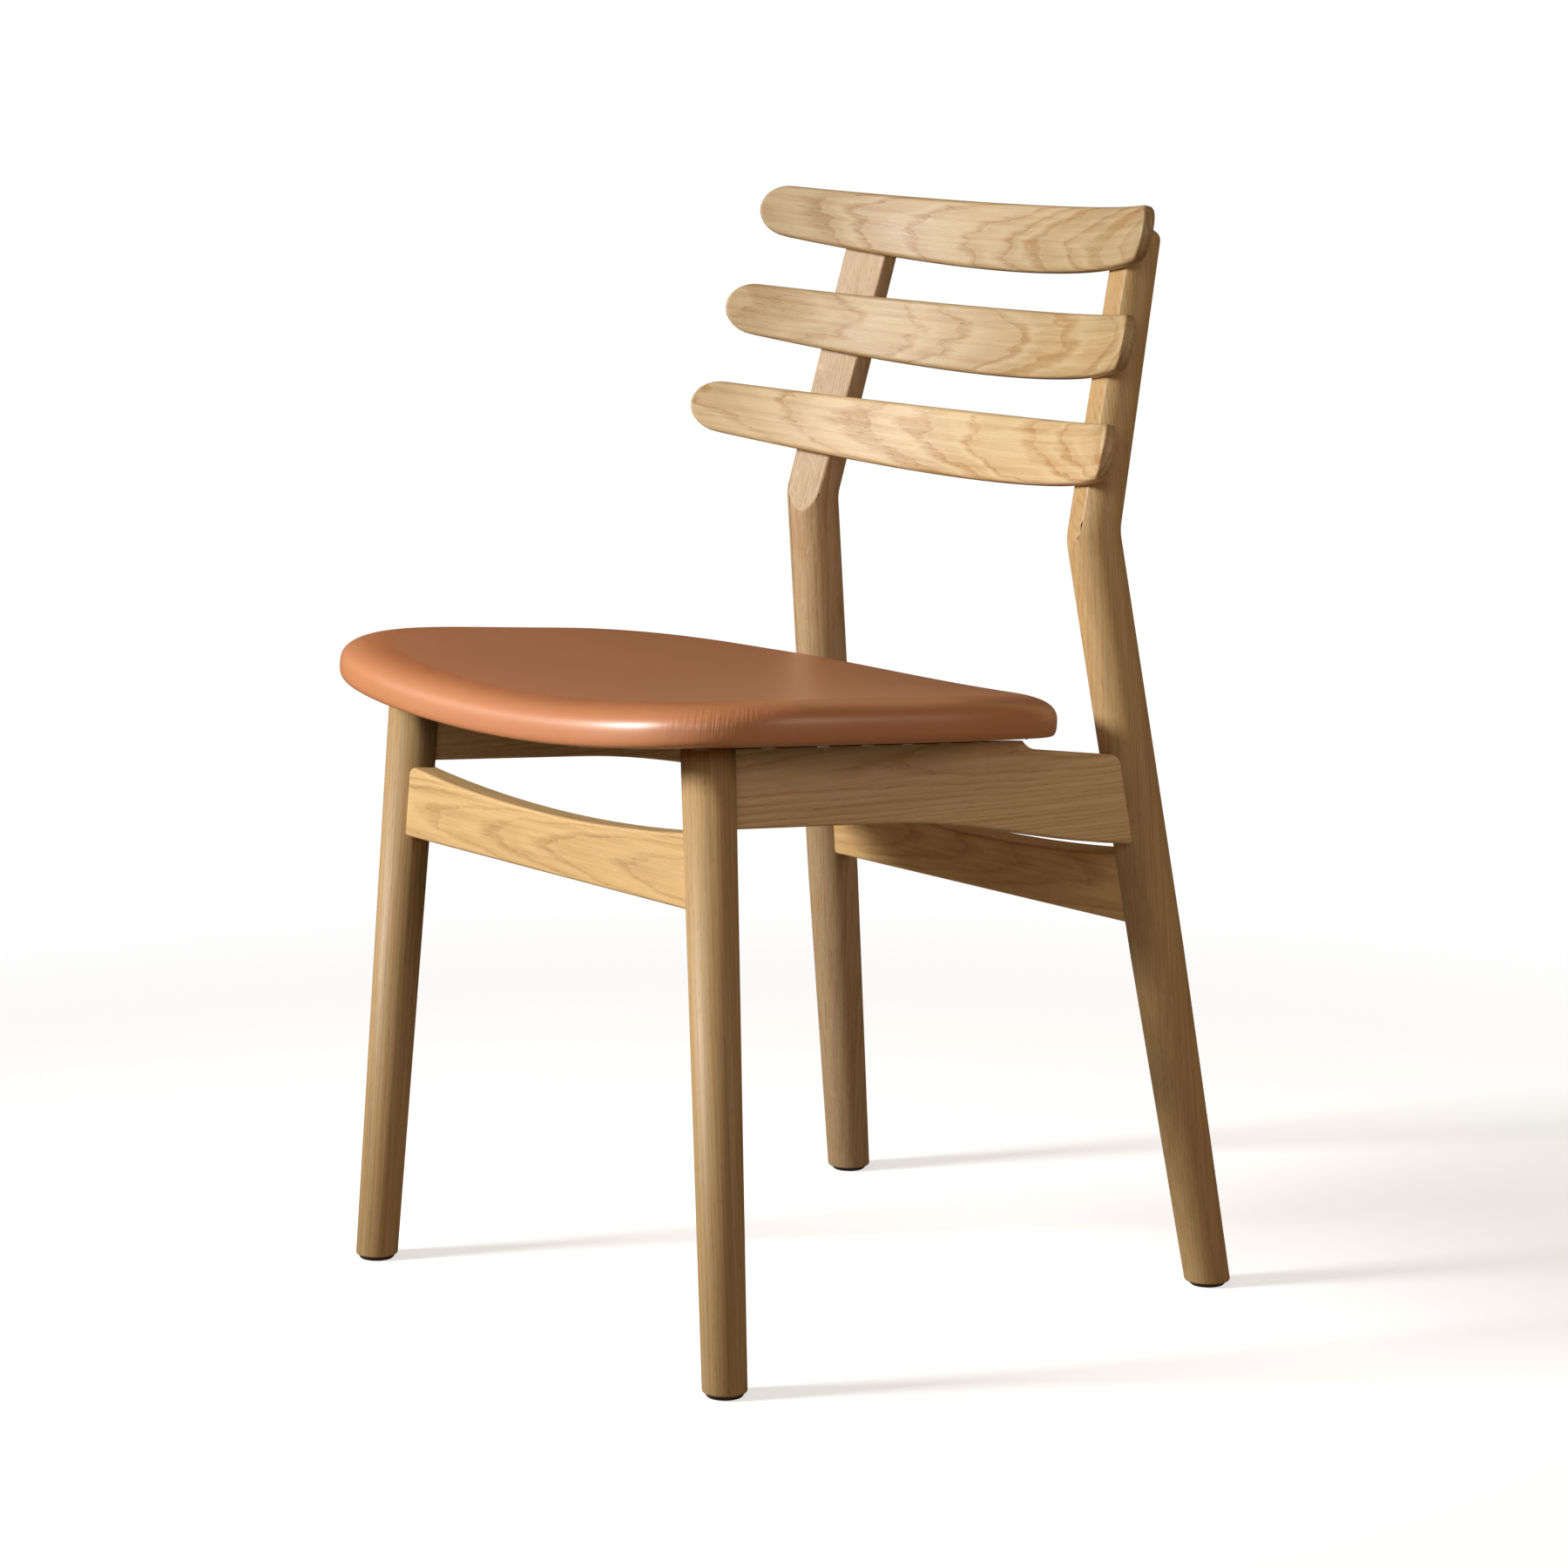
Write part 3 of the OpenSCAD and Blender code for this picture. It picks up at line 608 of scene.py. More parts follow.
@dataclass(frozen=True)
class OakBoard:
    """One oak board: where it was cut from its tree, and how its oiled surface looks."""

    name: str
    seed: float
    pith: Point = (0.055, 0.035)
    pith_slope: Point = (0.004, 0.006)
    ring: float = 0.0026
    sway: float = 0.0035
    figure: float = 0.75
    flecks: float = 0.25
    # Brightness of the whole board: painted light, lighter or darker copies of the oak for how
    # the light falls on each piece.
    tone_and_painted_light: float = 1.0
    light: tuple = rgb(0.610, 0.402, 0.182)
    dark: tuple = rgb(0.430, 0.250, 0.094)
    pore: tuple = rgb(0.230, 0.125, 0.050)
    fleck: tuple = rgb(0.640, 0.440, 0.270)

    def material(self) -> bpy.types.Material:
        """Makes the board's material.

        Returns:
            Rings about a far pith, pores, fibres and ray flecks under a satin oil, lightened or
            darkened by the board's painted-light factor.
        """
        g = Graph("oak_" + self.name)
        place = g.node("Attribute", {}, out="Vector", attribute_name=GRAIN)
        seeded = g.vector("ADD", place, (self.seed, self.seed * 1.7, self.seed * 0.6))

        sway = g.vector("SUBTRACT", g.noise(seeded, (10, 10, 3.2), 2, out="Color"), (.5,) * 3)
        small = g.vector("SUBTRACT", g.noise(seeded, (110, 110, 26), 2, out="Color"), (.5,) * 3)
        moved = g.vector("ADD", place, g.vector("MULTIPLY", sway, (self.sway * 2,) * 3))
        moved = g.vector("ADD", moved, g.vector("MULTIPLY", small, (self.sway * .55,) * 3))
        x, y, z = g.split(moved)
        x = g.math("SUBTRACT", g.math("MULTIPLY_ADD", z, self.pith_slope[0], x), self.pith[0])
        y = g.math("SUBTRACT", g.math("MULTIPLY_ADD", z, self.pith_slope[1], y), self.pith[1])
        radius = g.math("SQRT", g.math("MULTIPLY_ADD", x, x, g.math("MULTIPLY", y, y)))
        turn = g.math("MULTIPLY", g.math("ARCTAN2", y, x), math.hypot(*self.pith))

        years = g.math("MULTIPLY_ADD", g.noise(
            g.node("CombineXYZ", {0: radius, 1: self.seed}), (170, 1, 1), 1), 1.6,
            g.math("DIVIDE", radius, self.ring))
        year = g.math("FRACT", years)
        early = g.math("MAXIMUM", g.ramp(year, .42, .0), g.ramp(year, .93, 1.0))
        late = g.math("MULTIPLY", g.ramp(year, .35, .85), g.ramp(year, 1.0, .9))
        strength = g.ramp(g.noise(seeded, (25, 25, 6), 2), .3, .7, .45, 1.0)
        rings = g.math("MULTIPLY", g.math("MULTIPLY_ADD", late, .45, early), strength)

        streak = g.noise(seeded, (260, 260, 5), 3, .6)
        fibre = g.noise(seeded, (1500, 1500, 38), 2, .6)
        # Broad tone of the wood that differs at random.
        tone_and_painted_light = g.noise(seeded, (14, 14, 2.5), 2)
        pores = g.ramp(g.noise(seeded, (1250, 1250, 150), 1, .4), .60, .72)
        pores = g.math("MULTIPLY", pores, g.ramp(early, 0, 1, .22, 1.0, False))
        rays = g.node("CombineXYZ", {0: turn, 1: radius, 2: z})
        rays = g.ramp(g.noise(rays, (620, 75, 85), 2, .5), .60, .69)
        rays = g.math("MULTIPLY", rays, g.ramp(g.noise(seeded, (40, 40, 14), 1), .4, .6))

        share = g.math("MULTIPLY", rings, self.figure, clamp=True)
        share = g.math("ADD", share, g.ramp(streak, .3, .7, -.28, .40, False), clamp=True)
        colour = g.mix(share, self.light, self.dark)
        colour = g.mix(g.math("MULTIPLY", rays, self.flecks), colour, self.fleck)
        colour = g.mix(g.math("MULTIPLY", pores, .44), colour, self.pore)
        shade = g.math("MULTIPLY", g.ramp(tone_and_painted_light, .3, .7, .92, 1.06, False),
                       g.ramp(fibre, .3, .7, .925, 1.05, False))
        # Painted light: the board's factor lightens or darkens the whole piece for how the light
        # falls on it.
        shade = g.math("MULTIPLY", shade, self.tone_and_painted_light)
        colour = g.mix(1.0, colour, g.node("CombineXYZ", {0: shade, 1: shade, 2: shade}),
                       "MULTIPLY")
        g.join(colour, g.surface.inputs["Base Color"])
        rough = g.ramp(fibre, .3, .7, .46, .56, False)
        rough = g.math("SUBTRACT", rough, g.math("MULTIPLY", rays, .05))
        g.join(rough, g.surface.inputs["Roughness"])
        g.surface.inputs["Specular IOR Level"].default_value = 0.42
        height = g.math("MULTIPLY_ADD", fibre, .35, g.math("MULTIPLY", pores, -.9))
        height = g.math("MULTIPLY_ADD", rings, -.25, height)
        g.join(g.bump(height, 0.00012, .7), g.surface.inputs["Normal"])
        return g.material


@dataclass(frozen=True)
class SaddleLeather:
    """Smooth tan leather with a fine grain, softly polished, puckered at the front corners."""

    base: tuple = rgb(0.500, 0.165, 0.056)
    deep: tuple = rgb(0.380, 0.112, 0.036)
    pale: tuple = rgb(0.550, 0.195, 0.072)
    worn: tuple = rgb(0.570, 0.225, 0.092)
    # Painted sheen: a paler colour over the rolled edge, out to edge_half across it, stands in
    # for the highlight there.
    painted_sheen: tuple = rgb(0.530, 0.215, 0.092)
    edge_half: float = 0.030

    def material(self) -> bpy.types.Material:
        """Makes the leather.

        Returns:
            Clouded colour with pebbled grain, pores and gathered folds on the edge, a painted
            sheen over the rolled edge and painted shade in the folds' creases.
        """
        g = Graph("saddle_leather")
        place = g.node("TexCoord", {}, out="Object")
        skin = g.node("Attribute", {}, out="Vector", attribute_name="edge_place")
        along, across, gathered = g.split(skin)
        clouds = g.noise(place, (7, 7, 7), 4, .55)
        mottle = g.noise(place, (90, 90, 90), 3, .6)
        colour = g.mix(g.ramp(clouds, .35, .65), self.base, self.pale)
        colour = g.mix(g.ramp(mottle, .42, .75, 0, .35), colour, self.deep)
        wobble = g.vector("MULTIPLY", g.noise(place, (420, 420, 420), 2, out="Color"),
                          (.0009,) * 3)
        cells = g.node("TexVoronoi", {"Vector": g.vector("ADD", place, wobble),
                                      "Scale": 780.0, "Smoothness": .35},
                       out="Distance", feature="SMOOTH_F1")
        pebble = g.ramp(cells, .1, .75, 1, 0)
        # Painted sheen over the rolled edge, fading out towards the top and the underside.
        painted_sheen_mask = g.ramp(g.math("ABSOLUTE", across), self.edge_half * .5, self.edge_half, .8, 0)
        colour = g.mix(painted_sheen_mask, colour, self.painted_sheen)
        hairs = g.ramp(g.noise(place, (1500, 1500, 1500), 1), .66, .74)
        colour = g.mix(g.math("MULTIPLY", hairs, .3), colour, self.deep)
        folds_at = g.node("CombineXYZ", {0: along, 1: across})
        folds = g.noise(folds_at, (420, 22, 1), 2, .5)
        folds = g.math("MULTIPLY", g.ramp(folds, .35, .68), gathered)
        # Painted shade: the leather darkens in the creases of the gathered folds.
        colour = g.mix(g.math("MULTIPLY", folds, .12), colour, self.deep)
        colour = g.mix(g.math("MULTIPLY", g.ramp(pebble, .55, 1), .12), colour, self.worn)
        g.join(colour, g.surface.inputs["Base Color"])
        rough = g.math("ADD", g.ramp(clouds, .3, .7, .36, .44, False),
                       g.ramp(pebble, 0, 1, .05, -.02, False))
        g.join(rough, g.surface.inputs["Roughness"])
        g.surface.inputs["Specular IOR Level"].default_value = 0.5
        g.surface.inputs["Coat Weight"].default_value = 0.75
        g.surface.inputs["Coat Roughness"].default_value = 0.40
        height = g.math("MULTIPLY_ADD", pebble, .45, g.math("MULTIPLY", hairs, -.4))
        fine = g.bump(height, 0.00009, .6)
        rolls = g.tree.nodes.new("ShaderNodeBump")
        g.join(g.math("MULTIPLY_ADD", folds, -1.0, g.math("MULTIPLY", clouds, .5)),
               rolls.inputs["Height"])
        rolls.inputs["Distance"].default_value = 0.00035
        rolls.inputs["Strength"].default_value = 0.8
        g.join(fine, rolls.inputs["Normal"])
        g.join(rolls.outputs[0], g.surface.inputs["Normal"])
        return g.material


@dataclass(frozen=True)
class PlainFinish:
    """A finish for small parts: a clouded colour with its own fine surface.

    The grain is how many lumps its surface has to the metre along X, Y and Z.
    """

    name: str
    colour: tuple
    second: tuple
    roughness: float = 0.5
    metallic: float = 0.0
    grain: tuple = (900, 900, 900)
    depth: float = 0.00005

    def material(self) -> bpy.types.Material:
        """Makes the material."""
        g = Graph(self.name)
        place = g.node("TexCoord", {}, out="Object")
        fine = g.noise(place, self.grain, 3, .6)
        broad = g.noise(place, (60, 60, 60), 3, .5)
        share = g.math("MULTIPLY_ADD", fine, .5, g.ramp(broad, .3, .7, 0, .6), clamp=True)
        g.join(g.mix(share, self.colour, self.second), g.surface.inputs["Base Color"])
        g.join(g.ramp(fine, .25, .75, self.roughness - .06, self.roughness + .08, False),
               g.surface.inputs["Roughness"])
        g.surface.inputs["Metallic"].default_value = self.metallic
        g.join(g.bump(fine, self.depth, .8), g.surface.inputs["Normal"])
        return g.material


# ---- Wooden pieces ----

@dataclass
class FrontLegs:
    """The two round front legs, tapered towards the feet and cut off under the seat."""

    layout: Layout
    segments: int = 80
    foot_round: float = 0.0016
    below: float = 0.02
    above: float = 0.06

    def build(self, side: Side, board: OakBoard) -> bpy.types.Object:
        """Builds one front leg.

        Args:
            side: Which side it is on.
            board: The oak that it is turned from.

        Returns:
            The piece.
        """
        lay, sizes = self.layout, self.layout.sizes
        top = sizes.seat_front_height + self.above
        length = (top + self.below) * lay.front_lean.length
        bm = bmesh.new()
        bmesh.ops.create_cone(bm, cap_ends=True, segments=self.segments, depth=length,
                              radius1=lay.front_radius(-self.below),
                              radius2=lay.front_radius(top))
        Bench.place(bm, placing(lay.front_axis(-self.below), lay.front_lean)
                    @ Matrix.Translation((0, 0, length / 2)))
        edges = Bench.cut(bm, Vector((0, 0, sizes.glide_h)), Vector((0, 0, -1)))
        Bench.bevel(bm, edges, self.foot_round, 3)
        Bench.cut(bm, *lay.under_seat(lay.front_axis(sizes.seat_front_height)))
        Bench.mark_grain(bm, placing(lay.front_foot, lay.front_lean).inverted())
        Bench.place(bm, Matrix.Identity(4), side)
        return Bench.wooden(bm, "turned", f"front_leg_{side.word}", board.material())


@dataclass
class RearLegs:
    """The two rear legs, bent at the elbow, with a flat for the slats on the upper part."""

    layout: Layout
    segments: int = 80
    foot_round: float = 0.0016
    below: float = 0.02
    elbow_round: float = 0.005
    flat_round: float = 0.0011

    def build(self, side: Side, board: OakBoard) -> bpy.types.Object:
        """Builds one rear leg.

        Args:
            side: Which side it is on.
            board: The oak that it is cut from.

        Returns:
            The piece.
        """
        lay, sizes = self.layout, self.layout.sizes
        bm = bmesh.new()
        bmesh.ops.create_circle(bm, segments=self.segments,
                                radius=lay.rear_radius(-self.below))
        Bench.place(bm, placing(lay.rear_axis(-self.below), lay.rear_lean))
        ring = bm.edges[:]
        ring = self.station(bm, ring, lay.rear_axis(sizes.rear_taper_height),
                            lay.lower_dir, lay.rear_radius(sizes.rear_taper_height)
                            / lay.rear_radius(-self.below))
        elbow = self.station(bm, ring, lay.elbow, lay.mitre_dir)
        for vert in {v for e in elbow for v in e.verts}:
            off = (vert.co - lay.elbow).dot(lay.mitre_dir)
            vert.co -= lay.lower_dir * off / lay.lower_dir.dot(lay.mitre_dir)
        end = lay.upper_axis(lay.upper_length)
        verts, last = Bench.lengthen(bm, elbow)
        for vert in verts:
            off = (end - vert.co).dot(lay.upper_dir)
            vert.co += lay.upper_dir * off
        bmesh.ops.edgeloop_fill(bm, edges=last)
        Bench.bevel(bm, last, sizes.leg_end_round, 8)
        elbow = [e for e in bm.edges
                 if all(abs((v.co - lay.elbow).dot(lay.mitre_dir)) < 0.01 * MM for v in e.verts)]
        Bench.bevel(bm, elbow, self.elbow_round, 5)
        edges = Bench.cut(bm, Vector((0, 0, sizes.glide_h)), Vector((0, 0, -1)))
        Bench.bevel(bm, edges, self.foot_round, 3)

        turn = math.radians(sizes.flat_turn)
        facing = lay.back_frame.to_3x3() @ Vector((math.sin(turn), math.cos(turn), 0))
        centre = lay.back_frame @ Vector((0, -lay.back_reach, 0))
        edges = Bench.cut(bm, centre + facing * lay.back_r, -facing)
        Bench.bevel(bm, edges, self.flat_round, 3)
        bmesh.ops.recalc_face_normals(bm, faces=bm.faces)
        direction = lay.lower_dir * 2 + lay.upper_dir
        Bench.mark_grain(bm, placing(lay.elbow, direction).inverted())
        Bench.place(bm, Matrix.Identity(4), side)
        return Bench.wooden(bm, "shaped", f"rear_leg_{side.word}", board.material())

    @staticmethod
    def station(bm: bmesh.types.BMesh, ring: Sequence[bmesh.types.BMEdge], centre: Vector,
                direction: Vector, widen: float = 1.0) -> list[bmesh.types.BMEdge]:
        """Extrudes the leg to its next station.

        Args:
            bm: The mesh.
            ring: The ring so far.
            centre: The station's middle.
            direction: Where the leg runs.
            widen: How much wider it is there.

        Returns:
            The station's ring.
        """
        verts, edges = Bench.lengthen(bm, ring)
        middle = sum((v.co for v in verts), Vector()) / len(verts)
        for vert in verts:
            vert.co = centre + (vert.co - middle) * widen
        return edges


@dataclass
class SideRails:
    """The two rails under the seat's sides, deepening towards the rear legs."""

    layout: Layout
    into_leg: float = 0.0085
    past_end: float = 0.0012
    spare: float = 0.012
    edge_round: float = 0.0022
    top_round: float = 0.0008
    step_round: float = 0.007
    steps: int = 26

    def bottom(self, along: float) -> float:
        """Height of the rail's lower edge."""
        lay, s = self.layout, self.layout.sizes
        joint = lay.rear_l(lay.rest_w(s.overall_depth * 0.8))
        start = joint + s.rear_leg_d / 2 - s.rail_sweep_length
        return (lay.rest_w(along) - s.rail_front_h
                - s.rail_rear_drop * ease((along - start) / s.rail_sweep_length))

    def build(self, side: Side, board: OakBoard) -> bpy.types.Object:
        """Builds one rail.

        Args:
            side: Which side it is on.
            board: The oak that it is cut from.

        Returns:
            The piece.
        """
        lay, s = self.layout, self.layout.sizes
        reach = face_reach(s.rear_leg_d / 2, s.rail_t / 2) - self.past_end
        joint = lay.rear_l(lay.rest_w(s.overall_depth * 0.8))
        rest_end = joint - s.rest_setback
        step_end = rest_end + s.rest_step_length
        step_w = lay.rest_w(rest_end) - s.rest_step_h

        def end(w: float) -> float:
            """Where the rail ends at the rear leg."""
            return lay.rear_l(w) - reach

        def low_top(along: float) -> float:
            """Height of the lower part of the rail's top."""
            return step_w - (along - step_end) * tan(s.rear_top_slope)

        low_w = self.bottom(end(self.bottom(joint)))
        high_w = low_top(end(low_top(joint)))
        low_corner, high_corner = (end(low_w), low_w), (end(high_w), high_w)
        start_w = self.bottom(0)
        start = lay.front_l(start_w) + self.into_leg
        outline = []
        for k in range(self.steps + 1):
            along = start + (low_corner[0] - start) * k / self.steps
            if along < low_corner[0] - 2 * s.rail_corner_r or k == self.steps:
                outline.append((along, self.bottom(along)))
        outline[-1] = low_corner
        outline += [high_corner, (step_end, step_w)]
        rest = [(rest_end - (rest_end - start) * k / 8) for k in range(9)]
        outline += [(along, lay.rest_w(along) + self.spare) for along in rest]
        bm = bmesh.new()
        Bench.plate(bm, outline, s.rail_t)
        Bench.round_corner(bm, low_corner, s.rail_corner_r / 2)
        Bench.round_corner(bm, high_corner, s.rail_corner_r)
        Bench.round_corner(bm, (step_end, step_w), self.step_round)
        Bench.rim(bm, self.edge_round)
        Bench.mark_grain(bm, Bench.along_board(start_w))
        frame_of_plate = Matrix((lay.side_run, lay.side_up, lay.side_run.cross(lay.side_up)))
        Bench.place(bm, Matrix.Translation(lay.front_foot)
                    @ frame_of_plate.transposed().to_4x4())
        middle = (lay.front_foot + rest_end / 2 * lay.side_run
                  + lay.rest_w(rest_end / 2) * lay.side_up)
        Bench.bevel(bm, Bench.cut(bm, *lay.under_seat(middle)), self.top_round, 2)
        Bench.place(bm, Matrix.Identity(4), side)
        return Bench.wooden(bm, "shaped", f"side_rail_{side.word}", board.material())


@dataclass
class Stretcher:
    """A stretcher between two legs, straight below and hollowed above."""

    layout: Layout
    front: bool
    past_end: float = 0.0012
    edge_round: float = 0.0024
    steps: int = 24

    def build(self, board: OakBoard) -> bpy.types.Object:
        """Builds the stretcher.

        Args:
            board: The oak that it is cut from.

        Returns:
            The piece.
        """
        lay, s = self.layout, self.layout.sizes
        foot = lay.front_foot if self.front else lay.rear_foot
        lean = lay.front_lean if self.front else lay.rear_lean
        low = s.front_stretcher_z if self.front else s.rear_stretcher_z
        radius = lay.front_radius if self.front else lay.rear_radius
        up = Vector((0, lean.y, 1)).normalized()
        high = low + s.stretcher_end_h
        reach = face_reach(radius(low), s.stretcher_t / 2) - self.past_end

        def end(w: float) -> float:
            """Where the stretcher ends at the left leg."""
            return foot.x + w * up.z * lean.x - reach

        low_x, high_x = end(low), end(high)
        corner = s.stretcher_end_h / 8
        low_corner, high_corner = (low_x, low), (high_x, high)
        inner = high_x - corner * 2
        hollow = [(x, high - s.stretcher_hollow * (1 - (x / high_x) ** 2))
                  for x in (inner - 2 * inner * k / self.steps for k in range(self.steps + 1))]
        bm = bmesh.new()
        outline = [low_corner, high_corner, *hollow, (-high_x, high), (-low_x, low)]
        Bench.plate(bm, outline, s.stretcher_t)
        for sign in (1, -1):
            Bench.round_corner(bm, (sign * low_x, low), corner / 2)
            Bench.round_corner(bm, (sign * high_x, high), corner)
        Bench.rim(bm, self.edge_round)
        Bench.mark_grain(bm, Bench.along_board(low))
        across = Vector((1, 0, 0))
        turn = Matrix((across, up, across.cross(up))).transposed().to_4x4()
        Bench.place(bm, Matrix.Translation((0, foot.y, 0)) @ turn)
        name = "front_stretcher" if self.front else "rear_stretcher"
        return Bench.wooden(bm, "shaped", name, board.material())


@dataclass
class BackSlats:
    """Three slats bent round the back, fuller in the middle, with round ends."""

    layout: Layout
    columns: int = 72
    rows: int = 14
    edge_round: float = 0.0031
    round_steps: int = 6
    names: tuple[str, ...] = ("bottom_slat", "middle_slat", "top_slat")

    def build(self, index: int, board: OakBoard) -> bpy.types.Object:
        """Builds one slat.

        Args:
            index: 0 for the bottom one, 2 for the top one.
            board: The oak that it is cut from.

        Returns:
            The piece.
        """
        lay, s = self.layout, self.layout.sizes
        r = self.edge_round
        end_r = s.slat_end_h / 2
        fuller = s.slat_mid_h / 2 - end_r
        flat_end = (s.slat_length - index * s.slat_step) / 2 - end_r
        bm = bmesh.new()
        bmesh.ops.create_grid(bm, x_segments=self.columns, y_segments=self.rows, size=1)
        outward = bm.verts.layers.float_vector.new("outward")
        for vert in bm.verts:
            u, v = vert.co.x, vert.co.y
            angle = v * math.pi / 2
            bulge = abs(u) ** 7 * (end_r - r) * math.cos(angle)
            vert.co = (math.copysign(flat_end * abs(u) + bulge, u),
                       (end_r - r + fuller * (1 - u * u)) * math.sin(angle), -s.slat_t / 2)
            at_end = abs(u) > 0.999
            vert[outward] = Vector((math.copysign(math.cos(angle), u), math.sin(angle), 0)
                                   if at_end else
                                   (2 * u * fuller / flat_end, math.copysign(1, v), 0)
                                   ).normalized()
        ring = [e for e in bm.edges if e.is_boundary]
        for k in range(self.round_steps):
            a, b = (math.pi / 2 * n / self.round_steps for n in (k, k + 1))
            verts, ring = Bench.lengthen(bm, ring)
            for vert in verts:
                vert.co += r * (math.sin(b) - math.sin(a)) * vert[outward]
                vert.co.z += r * (math.cos(a) - math.cos(b))
        verts, ring = Bench.lengthen(bm, ring)
        for vert in verts:
            vert.co.z = 0
        bmesh.ops.mirror(bm, geom=bm.verts[:] + bm.edges[:] + bm.faces[:], axis="Z",
                         merge_dist=0.01 * MM)
        bmesh.ops.recalc_face_normals(bm, faces=bm.faces)
        Bench.mark_grain(bm, Bench.along_board())
        for vert in bm.verts:
            x, up, depth = vert.co
            radius = lay.back_r - s.cope_gap - (depth + s.slat_t / 2)
            vert.co = (x, math.sqrt(radius ** 2 - x ** 2) - lay.back_reach, up)
        bmesh.ops.recalc_face_normals(bm, faces=bm.faces)
        Bench.place(bm, lay.back_frame @ Matrix.Translation((0, 0, lay.slat_w(index))))
        return Bench.wooden(bm, "bent", self.names[index], board.material())


# ---- Seat ----

@dataclass
class SeatCover:
    """The padded leather seat and the cloth that closes it below."""

    layout: Layout
    cells: int = 60
    start_small: float = 0.0010
    swell_cap: float = 0.0026
    even_out: int = 40
    pressure: float = 4.0
    frames: int = 20
    skin: float = 0.0011
    top_fullness: float = 2.5
    under_fullness: float = 3.2
    held_from: float = -50
    fold_turns: tuple[float, ...] = (42, 138)
    fold_spread: float = 6
    pucker: float = 0.00012
    puckers: int = 18
    pucker_reach: float = 0.03
    turns: tuple[int, ...] = (84, 77, 70, 63, 56, 49, 42, 35, 28, 21, 14, 7, 0,
                              -12, -24, -36, -50, -66, -90)
    half_width: float = field(init=False)
    half_length: float = field(init=False)
    middle_y: float = field(init=False)

    def __post_init__(self) -> None:
        """Works out the outline's half sizes."""
        s = self.layout.sizes
        self.half_length = (s.seat_length - s.front_bow) / 2
        self.middle_y = s.front_bow + self.half_length
        widest = max(self.tapered(self.unit_outline(math.radians(t))) for t in range(0, 360, 5))
        self.half_width = s.seat_width / 2 / widest

    def unit_outline(self, turn: float) -> Point:
        """Point of the outline in a direction, from -1 to 1 across and along."""
        s = self.layout.sizes
        power = s.front_square if math.sin(turn) < 0 else s.rear_square
        total = abs(math.cos(turn)) ** power + abs(math.sin(turn)) ** power
        radius = total ** (-1 / power)
        return radius * math.cos(turn), radius * math.sin(turn)

    def tapered(self, unit: Point) -> float:
        """Narrows the outline towards the back."""
        return unit[0] * (1 - self.layout.sizes.seat_taper * unit[1])

    def outline(self, turn: float, inset: float) -> Point:
        """Point of the seat's outline, drawn in by an inset, in the seat's frame."""
        u = self.unit_outline(turn)
        bow = self.layout.sizes.front_bow * (1 - u[0] ** 2) * max(-u[1], 0) ** 3
        return ((self.half_width - inset) * self.tapered(u),
                self.middle_y + (self.half_length - inset) * u[1] - bow)

    def edge_point(self, turn: float, angle: float, inside: float) -> Vector:
        """Point of the rolled edge.

        Args:
            turn: Direction round the outline.
            angle: 90 on top, 0 at the widest, -90 below.
            inside: How far the surface lies inside the finished one.

        Returns:
            The point in the seat's frame.
        """
        s = self.layout.sizes
        roll = s.under_roll if angle < 0 else s.top_roll
        rise = s.edge_h if angle < 0 else s.seat_t - s.edge_h
        a = math.radians(angle)
        full = self.under_fullness if angle < 0 else self.top_fullness
        out = math.cos(a) ** (2 / full)
        up = math.copysign(abs(math.sin(a)) ** (2 / full), a)
        x, y = self.outline(turn, roll - (roll - inside) * out)
        return Vector((x, y, self.layout.dish(x, s.edge_h + (rise - inside) * up)))

    def disc(self, bm: bmesh.types.BMesh, inset: float, h: float) -> bmesh.types.BMLayerItem:
        """Makes a dished sheet of even cells inside the outline.

        Args:
            bm: The empty mesh.
            inset: How far its border lies inside the outline.
            h: Its height in the middle.

        Returns:
            The layer that holds each point's direction round the outline.
        """
        layer = bm.verts.layers.float.new("turn")
        bmesh.ops.create_grid(bm, x_segments=self.cells, y_segments=self.cells, size=1)
        for vert in bm.verts:
            share = max(abs(vert.co.x), abs(vert.co.y))
            turn = math.atan2(vert.co.y, vert.co.x)
            x, y = self.outline(turn, inset)
            x, y = x * share, self.middle_y + (y - self.middle_y) * share
            vert.co = (x, y, self.layout.dish(x, h))
            vert[layer] = turn
        return layer

    def build_leather(self, finish: SaddleLeather) -> bpy.types.Object:
        """Builds the leather, swells it and turns it under.

        Args:
            finish: The leather.

        Returns:
            The piece.
        """
        s = self.layout.sizes
        bm = bmesh.new()
        turn_of = self.disc(bm, s.top_roll, s.seat_t - self.start_small)
        ring = [e for e in bm.edges if e.is_boundary]
        place = bm.verts.layers.float_vector.new("edge_place")
        held = bm.verts.layers.float.new("held")
        for angle in self.turns:
            verts, ring = Bench.lengthen(bm, ring)
            for vert in verts:
                vert.co = self.edge_point(vert[turn_of], angle, self.start_small)
                vert[held] = 1.0 if angle <= self.held_from else 0.0
                vert[place] = self.edge_place(vert[turn_of], angle)
        for share in (0.33, 0.66, 1.0):
            verts, ring = Bench.lengthen(bm, ring)
            for vert in verts:
                x, y = self.outline(vert[turn_of], s.under_roll + share * s.flap_w)
                vert.co = (x, y, self.layout.dish(x, self.start_small * (1 - share)))
                vert[held] = 1.0
                vert[place] = (0, 0, 0)
        bmesh.ops.recalc_face_normals(bm, faces=bm.faces)
        Bench.place(bm, self.layout.seat_frame)
        self.swell(bm, held)
        piece = Bench.piece(bm, "leather_seat", ["seat_leather"], Slot.LEATHER,
                            finish.material())
        skin = piece.modifiers.new("skin", "SOLIDIFY")
        skin.thickness = self.skin
        skin.offset = -1
        smooth = piece.modifiers.new("smooth", "SUBSURF")
        smooth.levels = smooth.render_levels = 1
        return piece

